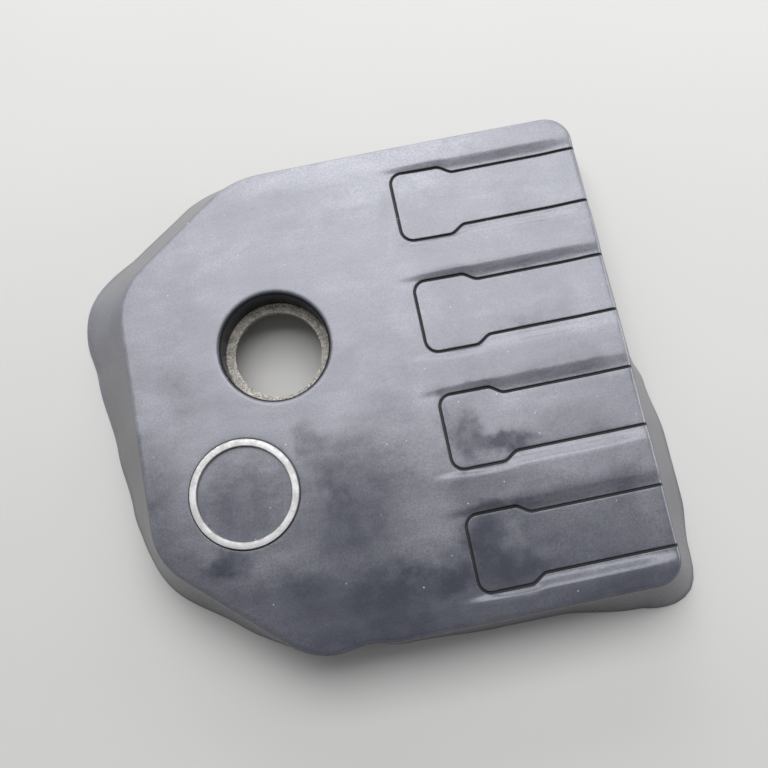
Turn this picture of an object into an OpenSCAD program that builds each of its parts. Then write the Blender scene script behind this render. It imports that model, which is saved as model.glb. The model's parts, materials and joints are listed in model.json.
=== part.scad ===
// Moulded engine cover with four outlined fields, a filler opening and a round badge ring.
// X runs along the fields towards their open ends, Y across them, Z up from the foot of the skirt.

/* [Panel] */
// Length of the panel along the fields, from crease to crease
panel_l = 274; // [250:1:310]
// Width of the panel across the fields, from crease to crease
panel_w = 271.5; // [266:0.5:300]
// Length cut from the rear left corner, along X
rear_cut_x = 75; // [60:1:85]
// Length cut from the rear left corner, along Y
rear_cut_y = 54; // [45:1:62]
// Length cut from the front left corner, along X
front_cut_x = 73; // [62:1:88]
// Length cut from the front left corner, along Y
front_cut_y = 65.5; // [55:1:75]
// Radius at both ends of the rear left cut and the front left cut
cut_r = 38; // [30:1:44]
// Radius of the two square corners on the right
corner_r = 15; // [10:1:20]
// Rise of the crowned panel between its corners and its middle
crown_rise = 4; // [1:0.5:6]
// Thickness of the moulded wall
wall = 2.5; // [2:0.1:3]
// Radius where the panel rolls over into the skirt
edge_r = 3; // [2.5:0.5:4]

/* [Skirt] */
// Height of the panel's corners above the foot of the skirt
skirt_h = 40; // [36:1:50]
// How far the foot stands out beyond the panel at the rear
flare_rear = 14; // [8:1:18]
// How far it stands out at the rear left cut
flare_rear_left = 31.5; // [20:0.5:34]
// How far it stands out at the middle of the left side
flare_left = 22; // [16:0.5:30]
// How far it stands out at the front left cut
flare_front_left = 13; // [6:1:16]
// How far it stands out at the front
flare_front = 4.5; // [2:0.5:8]
// How far it stands out at the front right corner
flare_front_right = 20; // [10:1:24]
// How far it stands out at the middle of the right side
flare_right = 12; // [6:1:16]
// How far it stands out at the rear right corner
flare_rear_right = 11; // [6:1:16]
// Depth of the shallow finger relief in the front edge
relief_d = 2; // [1:0.5:3]
// Length of the finger relief
relief_l = 34; // [28:1:40]

/* [Fields] */
// Distance from one field to the next
field_pitch = 66; // [62:0.5:67]
// Width of a field across its head
head_w = 41.6; // [38:0.2:43]
// Length of the wide head, up to the step
head_l = 27.5; // [22:0.5:34]
// Step inwards on each side behind the head
step_d = 4.5; // [3:0.5:6]
// Length over which the step runs
step_l = 9.5; // [7:0.5:13]
// Radius of the head's corners
head_r = 7; // [5:0.5:9]
// Distance from the panel's middle to the fields' heads
field_x = 28.3; // [24:0.1:36]
// Depth of the trough that each field lies in
trough_d = 3; // [1.5:0.25:4]
// Width of the trough's sloping walls beside a head
trough_wall = 3.8; // [3:0.2:5]
// How much further in the walls start behind a head
trough_step = 3; // [1:0.5:4]
// Length over which a trough fades into the panel at its head
trough_fade = 42; // [34:1:75]
// Width of the outline groove
groove_w = 1.3; // [1:0.1:1.8]
// Depth of the outline groove
groove_d = 1.4; // [0.8:0.1:1.6]

/* [Filler opening] */
// Place of the filler opening along X, from the panel's middle
filler_x = -53.8; // [-60:0.1:-50]
// Place of the filler opening along Y, from the panel's middle
filler_y = 32.8; // [28:0.1:38]
// Radius of the collar's inner wall
filler_r = 30; // [26:0.5:32]
// Radius of the rolled rim
rim_r = 3; // [2:0.5:3.5]
// Depth from the panel to the end of the collar
collar_depth = 20; // [16:0.5:22]
// Radius of the hole in the foam below the collar
foam_hole_r = 24.8; // [21:0.2:25.6]

/* [Badge ring] */
// Place of the badge ring along X, from the panel's middle
badge_x = -83.7; // [-86:0.1:-80]
// Place of the badge ring along Y, from the panel's middle
badge_y = -43.8; // [-48:0.1:-42]
// Outer radius of the ring
badge_r = 29.4; // [27:0.2:30]
// Width of the ring's band
band_w = 3.7; // [3:0.1:5]
// Height of the band above its seat
band_h = 2.6; // [2:0.1:3.4]
// Depth of the round recess that the ring sits in
recess_d = 0.9; // [0.6:0.1:1.2]
// Gap between the ring and the edge of the recess
recess_gap = 0.6; // [0.4:0.1:1]
// Radius of the ring's locating pins
badge_pin_r = 1.5; // [1.2:0.1:1.6]

/* [Ball sockets] */
// Radius of the socket's bore, for a ball stud of the same size
socket_r = 5; // [4:0.1:5.5]
// Length of the bore's straight wall
socket_l = 7; // [5:0.5:8]
// Radius of the grommet's waist
waist_r = 8.6; // [7.6:0.2:9]
// Radius of the grommet's head, inside its holder
head_rubber_r = 10.8; // [10:0.2:11.4]
// Radius of the grommet's lip, under its holder
lip_r = 12; // [11:0.2:13]
// Height of the grommets' lower face above the foot of the skirt
socket_z = 7; // [6:0.5:9]

/* [Foam] */
// Thickness of the foam absorber
foam_t = 8; // [6:0.5:9]
// Distance from the panel's crease in to the edge of the foam
foam_inset = 6; // [5:0.5:10]
// Depth of the pockets moulded in the foam's underside
pocket_d = 3; // [2:0.5:4]
// Radius of the moulded pins that carry the foam
foam_pin_r = 2; // [1.6:0.1:2.4]
// Radius of the push-on retainers
retainer_r = 9; // [7:0.5:10]

/* [Ribs] */
// Thickness of the ribs and gussets under the panel
rib_t = 1.8; // [1.4:0.1:2.4]
// Depth of the ribs below the panel
rib_depth = 6; // [4:0.5:8]
// Reach of the gussets in from the skirt
gusset_l = 14; // [10:1:18]

/* [Hidden] */
$fn = 72;

half_l = panel_l / 2;
half_w = panel_w / 2;
// Small step that keeps cutting tools clear of the faces they cut
skin_gap = 1;
// General clearance of a piece in its hole
play = 0.3;
fields = 4;
field_y = [for (i = [0 : fields - 1]) (fields - 1) * field_pitch / 2 - 1 - i * field_pitch];
// Share of its depth that a trough loses where it runs out at the right edge
trough_runout = 0.6;
trough_runout_l = 25;
// Share of its fade that a trough starts ahead of its field's head
trough_lead = 0.36;
// Front edge relief, along X
relief_x = -34;

// General helpers
function mix(a, b, t) = a + (b - a) * t;
function smooth(t) = let (k = min(max(t, 0), 1)) k * k * (3 - 2 * k);
function dir(a) = [cos(a), sin(a)];
function sorted(v) = len(v) < 2 ? v : let (
    p = v[floor(len(v) / 2)],
    above = [for (i = v) if (i > p) i],
    same = [for (i = v) if (i == p) i],
    below = [for (i = v) if (i < p) i]
) concat(sorted(above), same, sorted(below));
function thinned(v, gap) = [for (i = [0 : len(v) - 1])
    if (i == 0 || i == len(v) - 1 || (v[i - 1] - v[i] >= gap && v[i] - v[len(v) - 1] >= gap)) v[i]];

// Height of the panel: a low crown, level round the filler opening and the badge,
// less the troughs of the fields
land_z = crown_rise * 0.82;
land_blend = 22;
filler_land = 12;
badge_land = 8;
function crown(x, y) = crown_rise * (1 - pow(x / half_l, 2) / 2 - pow(y / half_w, 2) / 2);
function land(x, y, cx, cy, r) = 1 - smooth((norm([x - cx, y - cy]) - r) / land_blend);
function level_share(x, y) = 1
    - (1 - land(x, y, filler_x, filler_y, filler_r + rim_r + filler_land))
    * (1 - land(x, y, badge_x, badge_y, badge_r + badge_land));
function trough_half(x) = head_w / 2 - trough_step * smooth((x - field_x - head_l) / step_l);
function trough_at(x, y) = let (half = trough_half(x)) max([for (c = field_y)
    1 - smooth((abs(y - c) - half) / (head_w / 2 + trough_wall - half))]);
function trough_fade_at(x) =
    smooth((x - field_x + trough_fade * trough_lead) / trough_fade)
    * (1 - trough_runout * smooth((x - half_l + trough_runout_l) / trough_runout_l));
function panel_z(x, y) = skirt_h
    + mix(crown(x, y), land_z, level_share(x, y))
    - trough_d * trough_at(x, y) * trough_fade_at(x);

// The rear left cut starts on a wider round than the other corners of the two cuts
rear_round = 1.4;
// Outline of the panel. A chain of corners [x, y, radius] runs down the left side,
// and the right side is the same kind of chain, mirrored.
left_chain = [
    [-half_l + rear_cut_x, half_w, cut_r * rear_round],
    [-half_l, half_w - rear_cut_y, cut_r],
    [-half_l, -half_w + front_cut_y, cut_r],
    [-half_l + front_cut_x, -half_w, cut_r]];
right_chain = [[-half_l, half_w, corner_r], [-half_l, -half_w, corner_r]];

// Angle of the outward normal of the edge that follows corner i, from 90 at the rear to 270
function edge_angle(chain, i) =
    i < 0 ? 90 : i >= len(chain) - 1 ? 270 :
    let (d = chain[i + 1] - chain[i], a = atan2(-d[0], d[1])) a < 0 ? a + 360 : a;
function arc_centre(chain, i) = let (
    n1 = dir(edge_angle(chain, i - 1)),
    n2 = dir(edge_angle(chain, i))
) [chain[i][0], chain[i][1]] - chain[i][2] * (n1 + n2) / (1 + n1 * n2);
function arc_point(chain, i, a, inset) = arc_centre(chain, i) + (chain[i][2] - inset) * dir(a);

// [x, normal angle] where the outline, moved in by inset, meets the height y
function arc_hit(chain, i, y, inset) = let (
    c = arc_centre(chain, i),
    r = chain[i][2] - inset,
    high = c[1] + r * sin(edge_angle(chain, i - 1)),
    low = c[1] + r * sin(edge_angle(chain, i))
) y > high + 0.0001 || y < low - 0.0001 ? [] :
    let (a = 180 - asin(min(max((y - c[1]) / r, -1), 1))) [[c[0] + r * cos(a), a]];
function line_hit(chain, i, y, inset) = i >= len(chain) - 1 ? [] : let (
    a = edge_angle(chain, i),
    p = arc_point(chain, i, a, inset),
    q = arc_point(chain, i + 1, a, inset)
) y > p[1] || y < q[1] ? [] : [[mix(p[0], q[0], (p[1] - y) / max(p[1] - q[1], 0.0001)), a]];
function side_at(chain, y, inset) = [for (i = [0 : len(chain) - 1])
    each concat(arc_hit(chain, i, y, inset), line_hit(chain, i, y, inset))][0];

// Front edge relief: how far the outline steps back at x
function relief(x) = relief_d * (1 - smooth(abs(x - relief_x) / (relief_l / 2)));

// Distance that the foot stands out, by the direction from the panel's middle. Between two
// of the set distances it takes a share of each.
flares = [
    [-180, flare_left], [-165, mix(flare_left, flare_front_left, 0.45)], [-154, flare_front_left],
    [-147, flare_front_left], [-133, mix(flare_front_left, flare_front, 0.37)],
    [-112, flare_front / 2], [-95, flare_front], [-75, mix(flare_front, flare_front_right, 0.14)],
    [-62, mix(flare_front, flare_front_right, 0.14)], [-49, mix(flare_front, flare_front_right, 0.5)],
    [-44.3, flare_front_right], [-41.5, mix(flare_right, flare_front_right, 0.56)],
    [-34, flare_front_right], [-22, flare_front_right], [-9, mix(flare_right, flare_front_right, 0.5)],
    [-2, flare_right], [45, flare_rear_right], [90, flare_rear],
    [114, mix(flare_rear, flare_rear_left, 0.23)], [124, mix(flare_rear, flare_rear_left, 0.52)],
    [141, mix(flare_rear, flare_rear_left, 0.56)], [151, flare_rear_left],
    [162, mix(flare_left, flare_rear_left, 0.56)], [180, flare_left]];
function flare_from(a, i) = a <= flares[i + 1][0]
    ? mix(flares[i][1], flares[i + 1][1], smooth((a - flares[i][0]) / (flares[i + 1][0] - flares[i][0])))
    : flare_from(a, i + 1);
function flare(p) = flare_from(atan2(p[1], p[0]), 0);

// One grid of the panel: rows of constant y, each from the left outline to the right outline
function row_ends(y, inset) = let (
    l = side_at(left_chain, y, inset),
    r = side_at(right_chain, y, inset)
) [[l[0], l[1]], [-r[0], 180 - r[1]]];
function grid(rows, cols, inset, drop) = [for (j = [0 : len(rows) - 1]) let (
    e = row_ends(rows[j], inset)
) for (i = [0 : cols]) let (
    x = mix(e[0][0], e[1][0], i / cols),
    y = rows[j] + (j == len(rows) - 1 ? relief(x) : 0)
) [x, y, panel_z(x, y) - drop]];
// Normal angle at each grid point of the rim, clockwise from the rear left
function rim_order(n, m) = concat(
    [for (i = [0 : m]) i],
    [for (j = [1 : n - 1]) j * (m + 1) + m],
    [for (i = [m - 1 : -1 : 0]) (n - 1) * (m + 1) + i],
    [for (j = [n - 2 : -1 : 1]) j * (m + 1)]);
function rim_angles(rows, m, inset) = let (n = len(rows)) concat(
    [for (i = [0 : m]) 90],
    [for (j = [1 : n - 2]) row_ends(rows[j], inset)[1][1]],
    [for (i = [0 : m]) 270],
    [for (j = [n - 2 : -1 : 1]) row_ends(rows[j], inset)[0][1]]);

// Rings round the rim. Each is worked out from the crease, its normal and the local height.
function skirt_slope(c, z) = atan(flare(c) / z);
function outer_ring(pts, angles, inset, k) = [for (i = [0 : len(pts) - 1]) let (
    n = dir(angles[i]),
    c = [pts[i][0], pts[i][1]] + inset * n,
    z = pts[i][2],
    a = (90 - skirt_slope(c, z)) * k / edge_steps,
    p = c + (edge_r * sin(a) - edge_r) * n
) [p[0], p[1], z - edge_r * (1 - cos(a))]];
function foot_ring(pts, angles, inset, z, back) = [for (i = [0 : len(pts) - 1]) let (
    n = dir(angles[i]),
    c = [pts[i][0], pts[i][1]] + inset * n,
    h = pts[i][2],
    p = c + (flare(c) * (1 - z / h) - back / cos(skirt_slope(c, h))) * n
) [p[0], p[1], z]];
under_step = 0.2;
function under_ring(pts, angles, inset) = [for (i = [0 : len(pts) - 1]) let (
    n = dir(angles[i]),
    c = [pts[i][0], pts[i][1]] + inset * n,
    h = pts[i][2] + wall,
    p = c + (flare(c) * wall / h - wall / cos(skirt_slope(c, h))) * n
) [p[0], p[1], pts[i][2] - under_step]];

// Closed solid from a grid and the rings below it
module lofted(top, n, m, rings) {
    order = rim_order(n, m);
    k = len(order);
    base = len(top);
    grid_faces = [for (j = [0 : n - 2]) for (i = [0 : m - 1]) let (a = j * (m + 1) + i)
        each [[a, a + 1, a + m + 2], [a, a + m + 2, a + m + 1]]];
    function id(r, i) = r < 0 ? order[i % k] : base + r * k + i % k;
    ring_faces = [for (r = [-1 : len(rings) - 2]) for (i = [0 : k - 1])
        each [[id(r, i + 1), id(r, i), id(r + 1, i)], [id(r, i + 1), id(r + 1, i), id(r + 1, i + 1)]]];
    foot_face = [[for (i = [k - 1 : -1 : 0]) id(len(rings) - 1, i)]];
    polyhedron(points = concat(top, [for (r = rings) each r]),
        faces = concat(grid_faces, ring_faces, foot_face));
}

// Rows of the outer skin: close at the trough walls and at the corners, even elsewhere
edge_steps = 3;
skin_cols = 24;
skin_top = half_w - edge_r;
function wall_row(c, s, t) = c + s * (head_w / 2 + mix(-trough_step, trough_wall, t));
wall_rows = [for (c = field_y) for (s = [-1, 1]) for (t = [0 : 0.2 : 1]) wall_row(c, s, t)];
corner_rows = [for (s = [-1, 1]) for (a = [0 : 22.5 : 90])
    s * (skin_top - (corner_r - edge_r) * (1 - cos(a)))];
even_rows = [for (y = [-skin_top : skin_top / 22 : skin_top]) y];
function within(v, top) = [for (y = v) if (abs(y) < top - 0.3) y];
skin_rows = thinned(sorted(concat([skin_top, -skin_top],
    within(concat(wall_rows, corner_rows, even_rows), skin_top))), 0.45);

// Rows of the hollow under the panel
hollow_cols = 14;
hollow_inset = edge_r + 1;
hollow_top = half_w - hollow_inset;
hollow_rows = thinned(sorted(concat([hollow_top, -hollow_top],
    within(concat([for (c = field_y) for (s = [-1, 1]) for (t = [0.1, 0.5, 0.94])
        wall_row(c, s, t)],
        [for (y = [-hollow_top : hollow_top / 7 : hollow_top]) y]), hollow_top))), 1.2);

module skin_solid() {
    top = grid(skin_rows, skin_cols, edge_r, 0);
    order = rim_order(len(skin_rows), skin_cols);
    edge = [for (i = order) top[i]];
    angles = rim_angles(skin_rows, skin_cols, edge_r);
    lofted(top, len(skin_rows), skin_cols, concat(
        [for (k = [1 : edge_steps]) outer_ring(edge, angles, edge_r, k)],
        [foot_ring(edge, angles, edge_r, 0, 0)]));
}

module hollow_solid() {
    top = grid(hollow_rows, hollow_cols, hollow_inset, wall);
    order = rim_order(len(hollow_rows), hollow_cols);
    edge = [for (i = order) top[i]];
    angles = rim_angles(hollow_rows, hollow_cols, hollow_inset);
    lofted(top, len(hollow_rows), hollow_cols, [
        under_ring(edge, angles, hollow_inset),
        foot_ring(edge, angles, hollow_inset, -skin_gap, wall)]);
}

// The model stands with the middle of its foot at the origin
foot = let (
    top = grid(skin_rows, skin_cols, edge_r, 0),
    order = rim_order(len(skin_rows), skin_cols)
) foot_ring([for (i = order) top[i]], rim_angles(skin_rows, skin_cols, edge_r), edge_r, 0, 0);
foot_x = [for (p = foot) p[0]];
foot_y = [for (p = foot) p[1]];
middle = [(min(foot_x) + max(foot_x)) / 2, (min(foot_y) + max(foot_y)) / 2];
module placed() translate([-middle[0], -middle[1], 0]) children();

// Heights that the pieces under the panel share
land_top = skirt_h + land_z;
foam_top = land_top - collar_depth;
foam_low = foam_top - foam_t;
seat_z = land_top - recess_d;
// Grommet: the chamfer at its mouth, its lower body up to the holder's flange, and its head
mouth_h = 1.2;
lip_h = mouth_h + socket_l + play;
head_h = 5;
flange_t = 2.5;
flange_z = socket_z + lip_h + play / 2;
holder_r = head_rubber_r + play + wall;
// Foam posts, and how far their pins reach below the foam
post_r = 5;
pin_reach = 4;

// Places under the panel, from its middle
socket_at = [
    [-half_l + 79, -half_w + 34], [half_l - 38, field_y[3]],
    [-half_l + 39, half_w - 56], [half_l - 38, field_y[0]]];
foam_pin_at = [
    [field_x - 54, half_w - 31], [-half_l + 24, mix(filler_y, badge_y, 0.2)],
    [field_x - 41, mix(filler_y, badge_y, 1.1)], [field_x - 37, -half_w + 18],
    [half_l - 75, mix(field_y[0], field_y[1], 0.5)], [half_l - 75, mix(field_y[2], field_y[3], 0.5)]];
rib_at = [-half_l + 145, half_l - 103, half_l - 59, half_l - 19];
rib_end = half_w - 32;

// Centre line of a field's groove: the open end, the step, then round the head, and back
function groove_half() = let (
    narrow = head_w / 2 - step_d,
    wide = head_w / 2,
    step_x = field_x + head_l,
    runs = 9
) concat(
    [for (i = [0 : runs - 1]) [mix(half_l + 1, step_x + step_l, i / runs), narrow]],
    [for (t = [1 : -0.2 : 0]) [step_x + step_l * t, mix(wide, narrow, smooth(t))]],
    [[mix(step_x, field_x + head_r, 0.5), wide]],
    [for (a = [90 : 18 : 180]) [field_x + head_r, wide - head_r] + head_r * dir(a)]);
function groove_path(c) = let (h = groove_half()) concat(
    [for (p = h) [p[0], c + p[1]]],
    [for (i = [len(h) - 1 : -1 : 0]) [h[i][0], c - h[i][1]]]);

// Cutting tool that follows a path on the panel, a groove's depth below it
module groove_tool(path) {
    n = len(path);
    sections = [for (i = [0 : n - 1]) let (
        d = path[min(i + 1, n - 1)] - path[max(i - 1, 0)],
        side = groove_w / 2 * [-d[1], d[0]] / norm(d),
        z = panel_z(path[i][0], path[i][1])
    ) each [
        [path[i][0] + side[0], path[i][1] + side[1], z + 2],
        [path[i][0] - side[0], path[i][1] - side[1], z + 2],
        [path[i][0] - side[0], path[i][1] - side[1], z - groove_d],
        [path[i][0] + side[0], path[i][1] + side[1], z - groove_d]]];
    walls = [for (i = [0 : n - 2]) for (k = [0 : 3]) let (
        a = 4 * i + k,
        b = 4 * i + (k + 1) % 4
    ) each [[a, b + 4, b], [a, a + 4, b + 4]]];
    polyhedron(points = sections,
        faces = concat([[0, 1, 2, 3]], walls, [[4 * n - 1, 4 * n - 2, 4 * n - 3, 4 * n - 4]]));
}

// Round tool that opens the panel and the collar, with the rolled rim
roll_steps = 6;
module filler_tool() {
    first = 12;
    roll = [for (i = [0 : roll_steps]) let (a = mix(first, 90, i / roll_steps))
        [rim_r * (1 - sin(a)), rim_r * (cos(a) - 1)]];
    rise = 0.8;
    translate([filler_x, filler_y, land_top]) rotate_extrude() polygon(concat(
        [[0, rise], [filler_r + roll[0][0] + (rise - roll[0][1]) / tan(first), rise]],
        [for (p = roll) [filler_r + p[0], p[1]]],
        [[filler_r, -collar_depth - skin_gap], [0, -collar_depth - skin_gap]]));
}

pin_play = 0.2;
module badge_pins(r, low, high) {
    for (a = [90, 210, 330])
        translate([badge_x, badge_y, low])
            rotate([0, 0, a]) translate([badge_r - band_w / 2, 0, 0])
                cylinder(r = r, h = high - low, $fn = 24);
}

// Rib that hangs from the panel along Y and follows its underside
module rib_across(x, y0, y1) {
    steps = 24;
    top = [for (i = [0 : steps]) let (y = mix(y0, y1, i / steps)) [y, panel_z(x, y) - wall * 0.6]];
    low = [for (i = [0 : steps / 4]) let (y = mix(y1, y0, 4 * i / steps))
        [y, skirt_h + crown(x, y) - wall - rib_depth]];
    translate([x - rib_t / 2, 0, 0]) rotate([90, 0, 90]) linear_extrude(rib_t)
        polygon(concat(top, low));
}

// Triangular web between the panel and the skirt, at a crease point and its normal angle
module gusset(c, a) {
    h = panel_z(c[0], c[1]);
    low_z = foam_top + 3;
    inner = c - gusset_l * dir(a);
    inner_z = panel_z(inner[0], inner[1]);
    mid = wall * 0.5 / cos(skirt_slope(c, h));
    translate([c[0], c[1], 0]) rotate([0, 0, a]) rotate([90, 0, 0])
        translate([0, 0, -rib_t / 2]) linear_extrude(rib_t) polygon([
            [flare(c) * (1 - low_z / h) - mid, low_z],
            [flare(c) * wall / h - mid - 0.5, h - wall * 0.8],
            [-gusset_l, inner_z - wall * 0.6],
            [-gusset_l, inner_z - wall - 1.5],
            [flare(c) * (1 - low_z / h) - mid - 3, low_z]]);
}
module left_gusset(y) { e = side_at(left_chain, y, 0); gusset([e[0], y], e[1]); }
module right_gusset(y) { e = side_at(right_chain, y, 0); gusset([-e[0], y], 180 - e[1]); }

// Round holder that hangs from the panel, with a flange for the grommet's waist
module holder(p) {
    top = panel_z(p[0], p[1]);
    translate([p[0], p[1], flange_z]) cylinder(r = holder_r, h = top - wall / 2 - flange_z);
}
module holder_bore(p) {
    top = panel_z(p[0], p[1]);
    translate([p[0], p[1], flange_z - skin_gap])
        cylinder(r = waist_r + play / 2, h = flange_t + 2 * skin_gap);
    translate([p[0], p[1], flange_z + flange_t])
        cylinder(r = head_rubber_r + play, h = top - wall - 1 - flange_z - flange_t);
}

// Post that the foam lies against, with the thin pin that its retainer grips
module foam_post(p) {
    top = panel_z(p[0], p[1]);
    translate([p[0], p[1], foam_top]) cylinder(r = post_r, h = top - wall / 2 - foam_top, $fn = 36);
    translate([p[0], p[1], foam_low - pin_reach])
        cylinder(r = foam_pin_r, h = foam_t + pin_reach + skin_gap, $fn = 24);
}

module cover_shell() {
    color([0.33, 0.34, 0.37]) placed() difference() {
        union() {
            difference() {
                skin_solid();
                hollow_solid();
                for (c = field_y) groove_tool(groove_path(c));
            }
            translate([filler_x, filler_y, foam_top])
                cylinder(r = filler_r + wall, h = collar_depth - wall / 2);
            for (p = socket_at) holder(p);
            for (p = foam_pin_at) foam_post(p);
            for (x = rib_at) rib_across(x, -rib_end, rib_end);
            for (y = [filler_y + 13, mix(filler_y, badge_y, 0.53), badge_y]) left_gusset(y);
            for (i = [0 : fields - 2]) right_gusset(mix(field_y[i], field_y[i + 1], 0.5));
            for (x = [-half_l + 107, rib_at[1], rib_at[2]]) gusset([x, half_w], 90);
            for (x = [-half_l + 133, rib_at[1], rib_at[2]]) gusset([x, -half_w], 270);
        }
        filler_tool();
        translate([badge_x, badge_y, seat_z])
            cylinder(r = badge_r + recess_gap, h = recess_d + skin_gap);
        badge_pins(badge_pin_r + pin_play, land_top - wall - 2 * skin_gap, land_top + skin_gap);
        for (p = socket_at) holder_bore(p);
    }
}

// Bright ring with three pins, their ends upset under the panel
module badge_ring() {
    r_in = badge_r - band_w;
    soft = 0.9;
    head_z = land_top - wall - play;
    head_t = 1.2;
    shank_low = head_z - head_t / 2;
    head_r = badge_pin_r + 1.3;
    color([0.78, 0.79, 0.80]) placed() union() {
        translate([badge_x, badge_y, seat_z]) rotate_extrude() polygon(concat(
            [[r_in, 0], [badge_r, 0]],
            [for (a = [0 : 22.5 : 90])
                [badge_r - soft + soft * cos(a), band_h - soft * 0.8 + soft * 0.8 * sin(a)]],
            [for (a = [90 : 22.5 : 180])
                [r_in + soft + soft * cos(a), band_h - soft * 0.8 + soft * 0.8 * sin(a)]]));
        badge_pins(badge_pin_r, shank_low, seat_z + band_h / 2);
        badge_pins(head_r, head_z - head_t, head_z);
    }
}

// Outline of the panel moved in, for the foam
function chain_points(chain, inset, n) = [for (i = [0 : len(chain) - 1]) for (t = [0 : n])
    arc_point(chain, i, mix(edge_angle(chain, i - 1), edge_angle(chain, i), t / n), inset)];
function foam_outline() = let (
    left = chain_points(left_chain, foam_inset, 5),
    right = chain_points(right_chain, foam_inset, 4)
) concat(left, [for (i = [len(right) - 1 : -1 : 0]) [-right[i][0], right[i][1]]]);

module pocket(x, y, l, w) {
    r = 6;
    translate([x, y, foam_low - skin_gap]) linear_extrude(pocket_d + skin_gap)
        union() {
            square([l, w - 2 * r], center = true);
            square([l - 2 * r, w], center = true);
            for (sx = [-1, 1]) for (sy = [-1, 1])
                translate([sx * (l / 2 - r), sy * (w / 2 - r)]) circle(r = r, $fn = 32);
        }
}

// Foam pad with its filler hole, clear of the holders, held on the posts
module sound_absorber() {
    lip = 3.5;
    relief_r = 5;
    hole_play = 1;
    pin_hole_r = foam_pin_r + 0.4;
    pocket_l = 50;
    pocket_w = 26;
    pocket_x = mix(rib_at[1], rib_at[2], 0.5);
    color([0.60, 0.58, 0.53]) placed() difference() {
        translate([0, 0, foam_low]) linear_extrude(foam_t) polygon(foam_outline());
        translate([filler_x, filler_y, foam_low]) rotate_extrude() polygon([
            [0, foam_t + skin_gap], [foam_hole_r, foam_t + skin_gap], [foam_hole_r, foam_t - lip],
            [foam_hole_r + relief_r, -skin_gap], [0, -skin_gap]]);
        for (p = socket_at) translate([p[0], p[1], foam_low - skin_gap])
            cylinder(r = holder_r + hole_play, h = foam_t + 2 * skin_gap);
        for (p = foam_pin_at) translate([p[0], p[1], foam_low - skin_gap])
            cylinder(r = pin_hole_r, h = foam_t + 2 * skin_gap, $fn = 24);
        for (y = field_y) pocket(pocket_x, y, pocket_l, pocket_w);
    }
}

// Rubber ball socket: a body with a lip below the holder's flange, the waist in it and the head above
module grommet(p) {
    body_r = socket_r + 4;
    lip_z = lip_h - 3;
    head_z = lip_h + flange_t + play;
    top_z = head_z + head_h;
    dome_z = mouth_h + socket_l;
    dome_h = 2.2;
    soft = 1;
    color([0.10, 0.10, 0.11]) placed() translate([p[0], p[1], socket_z])
        difference() {
            rotate_extrude() polygon([
                [0, 0], [body_r - soft, 0], [body_r, soft], [body_r, lip_z - soft], [lip_r - soft, lip_z],
                [lip_r, lip_z + soft], [lip_r, lip_h], [waist_r, lip_h], [waist_r, head_z],
                [head_rubber_r, head_z], [head_rubber_r, top_z - head_h / 2],
                [head_rubber_r - head_h / 2, top_z], [0, top_z]]);
            translate([0, 0, mouth_h]) cylinder(r = socket_r, h = socket_l);
            translate([0, 0, -skin_gap])
                cylinder(r1 = socket_r + mouth_h + skin_gap, r2 = socket_r, h = mouth_h + skin_gap);
            translate([0, 0, dome_z]) cylinder(r1 = socket_r, r2 = socket_r * 0.55, h = dome_h);
        }
}
module grommet_front_left() { grommet(socket_at[0]); }
module grommet_front_right() { grommet(socket_at[1]); }
module grommet_rear_left() { grommet(socket_at[2]); }
module grommet_rear_right() { grommet(socket_at[3]); }

// Push-on retainer: a dished washer that grips a pin under the foam
module foam_retainer(i) {
    t = 0.8;
    dish = 1.2;
    grip_r = foam_pin_r + 0.1;
    flat_r = retainer_r * 0.55;
    p = foam_pin_at[i - 1];
    color([0.62, 0.63, 0.65]) placed() translate([p[0], p[1], foam_low])
        rotate_extrude() polygon([
            [grip_r, -dish - t], [grip_r, -dish], [flat_r, 0],
            [retainer_r, 0], [retainer_r, -t], [flat_r + t / 2, -t],
            [grip_r + t, -dish - t]]);
}

cover_shell();
badge_ring();
sound_absorber();
grommet_front_left();
grommet_front_right();
grommet_rear_left();
grommet_rear_right();
foam_retainer(1);  // foam_retainer_1
foam_retainer(2);  // foam_retainer_2
foam_retainer(3);  // foam_retainer_3
foam_retainer(4);  // foam_retainer_4
foam_retainer(5);  // foam_retainer_5
foam_retainer(6);  // foam_retainer_6
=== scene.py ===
# %% [markdown]
# A moulded engine cover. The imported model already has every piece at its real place, so this
# script only dresses it: a finer skin for the big moulding, a swept badge ring, foam, rubber and
# spring washers with their real finish, then a pale floor, soft light and a camera.
# Everything is worked out in millimetres, in the panel's own drawing frame, and is moved to the
# model's frame and to metres when a mesh is made.

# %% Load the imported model
import json
import math
import bmesh
import bpy
import numpy as np
from mathutils import Matrix, Quaternion, Vector
from mathutils.geometry import delaunay_2d_cdt
from mathutils.kdtree import KDTree


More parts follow.
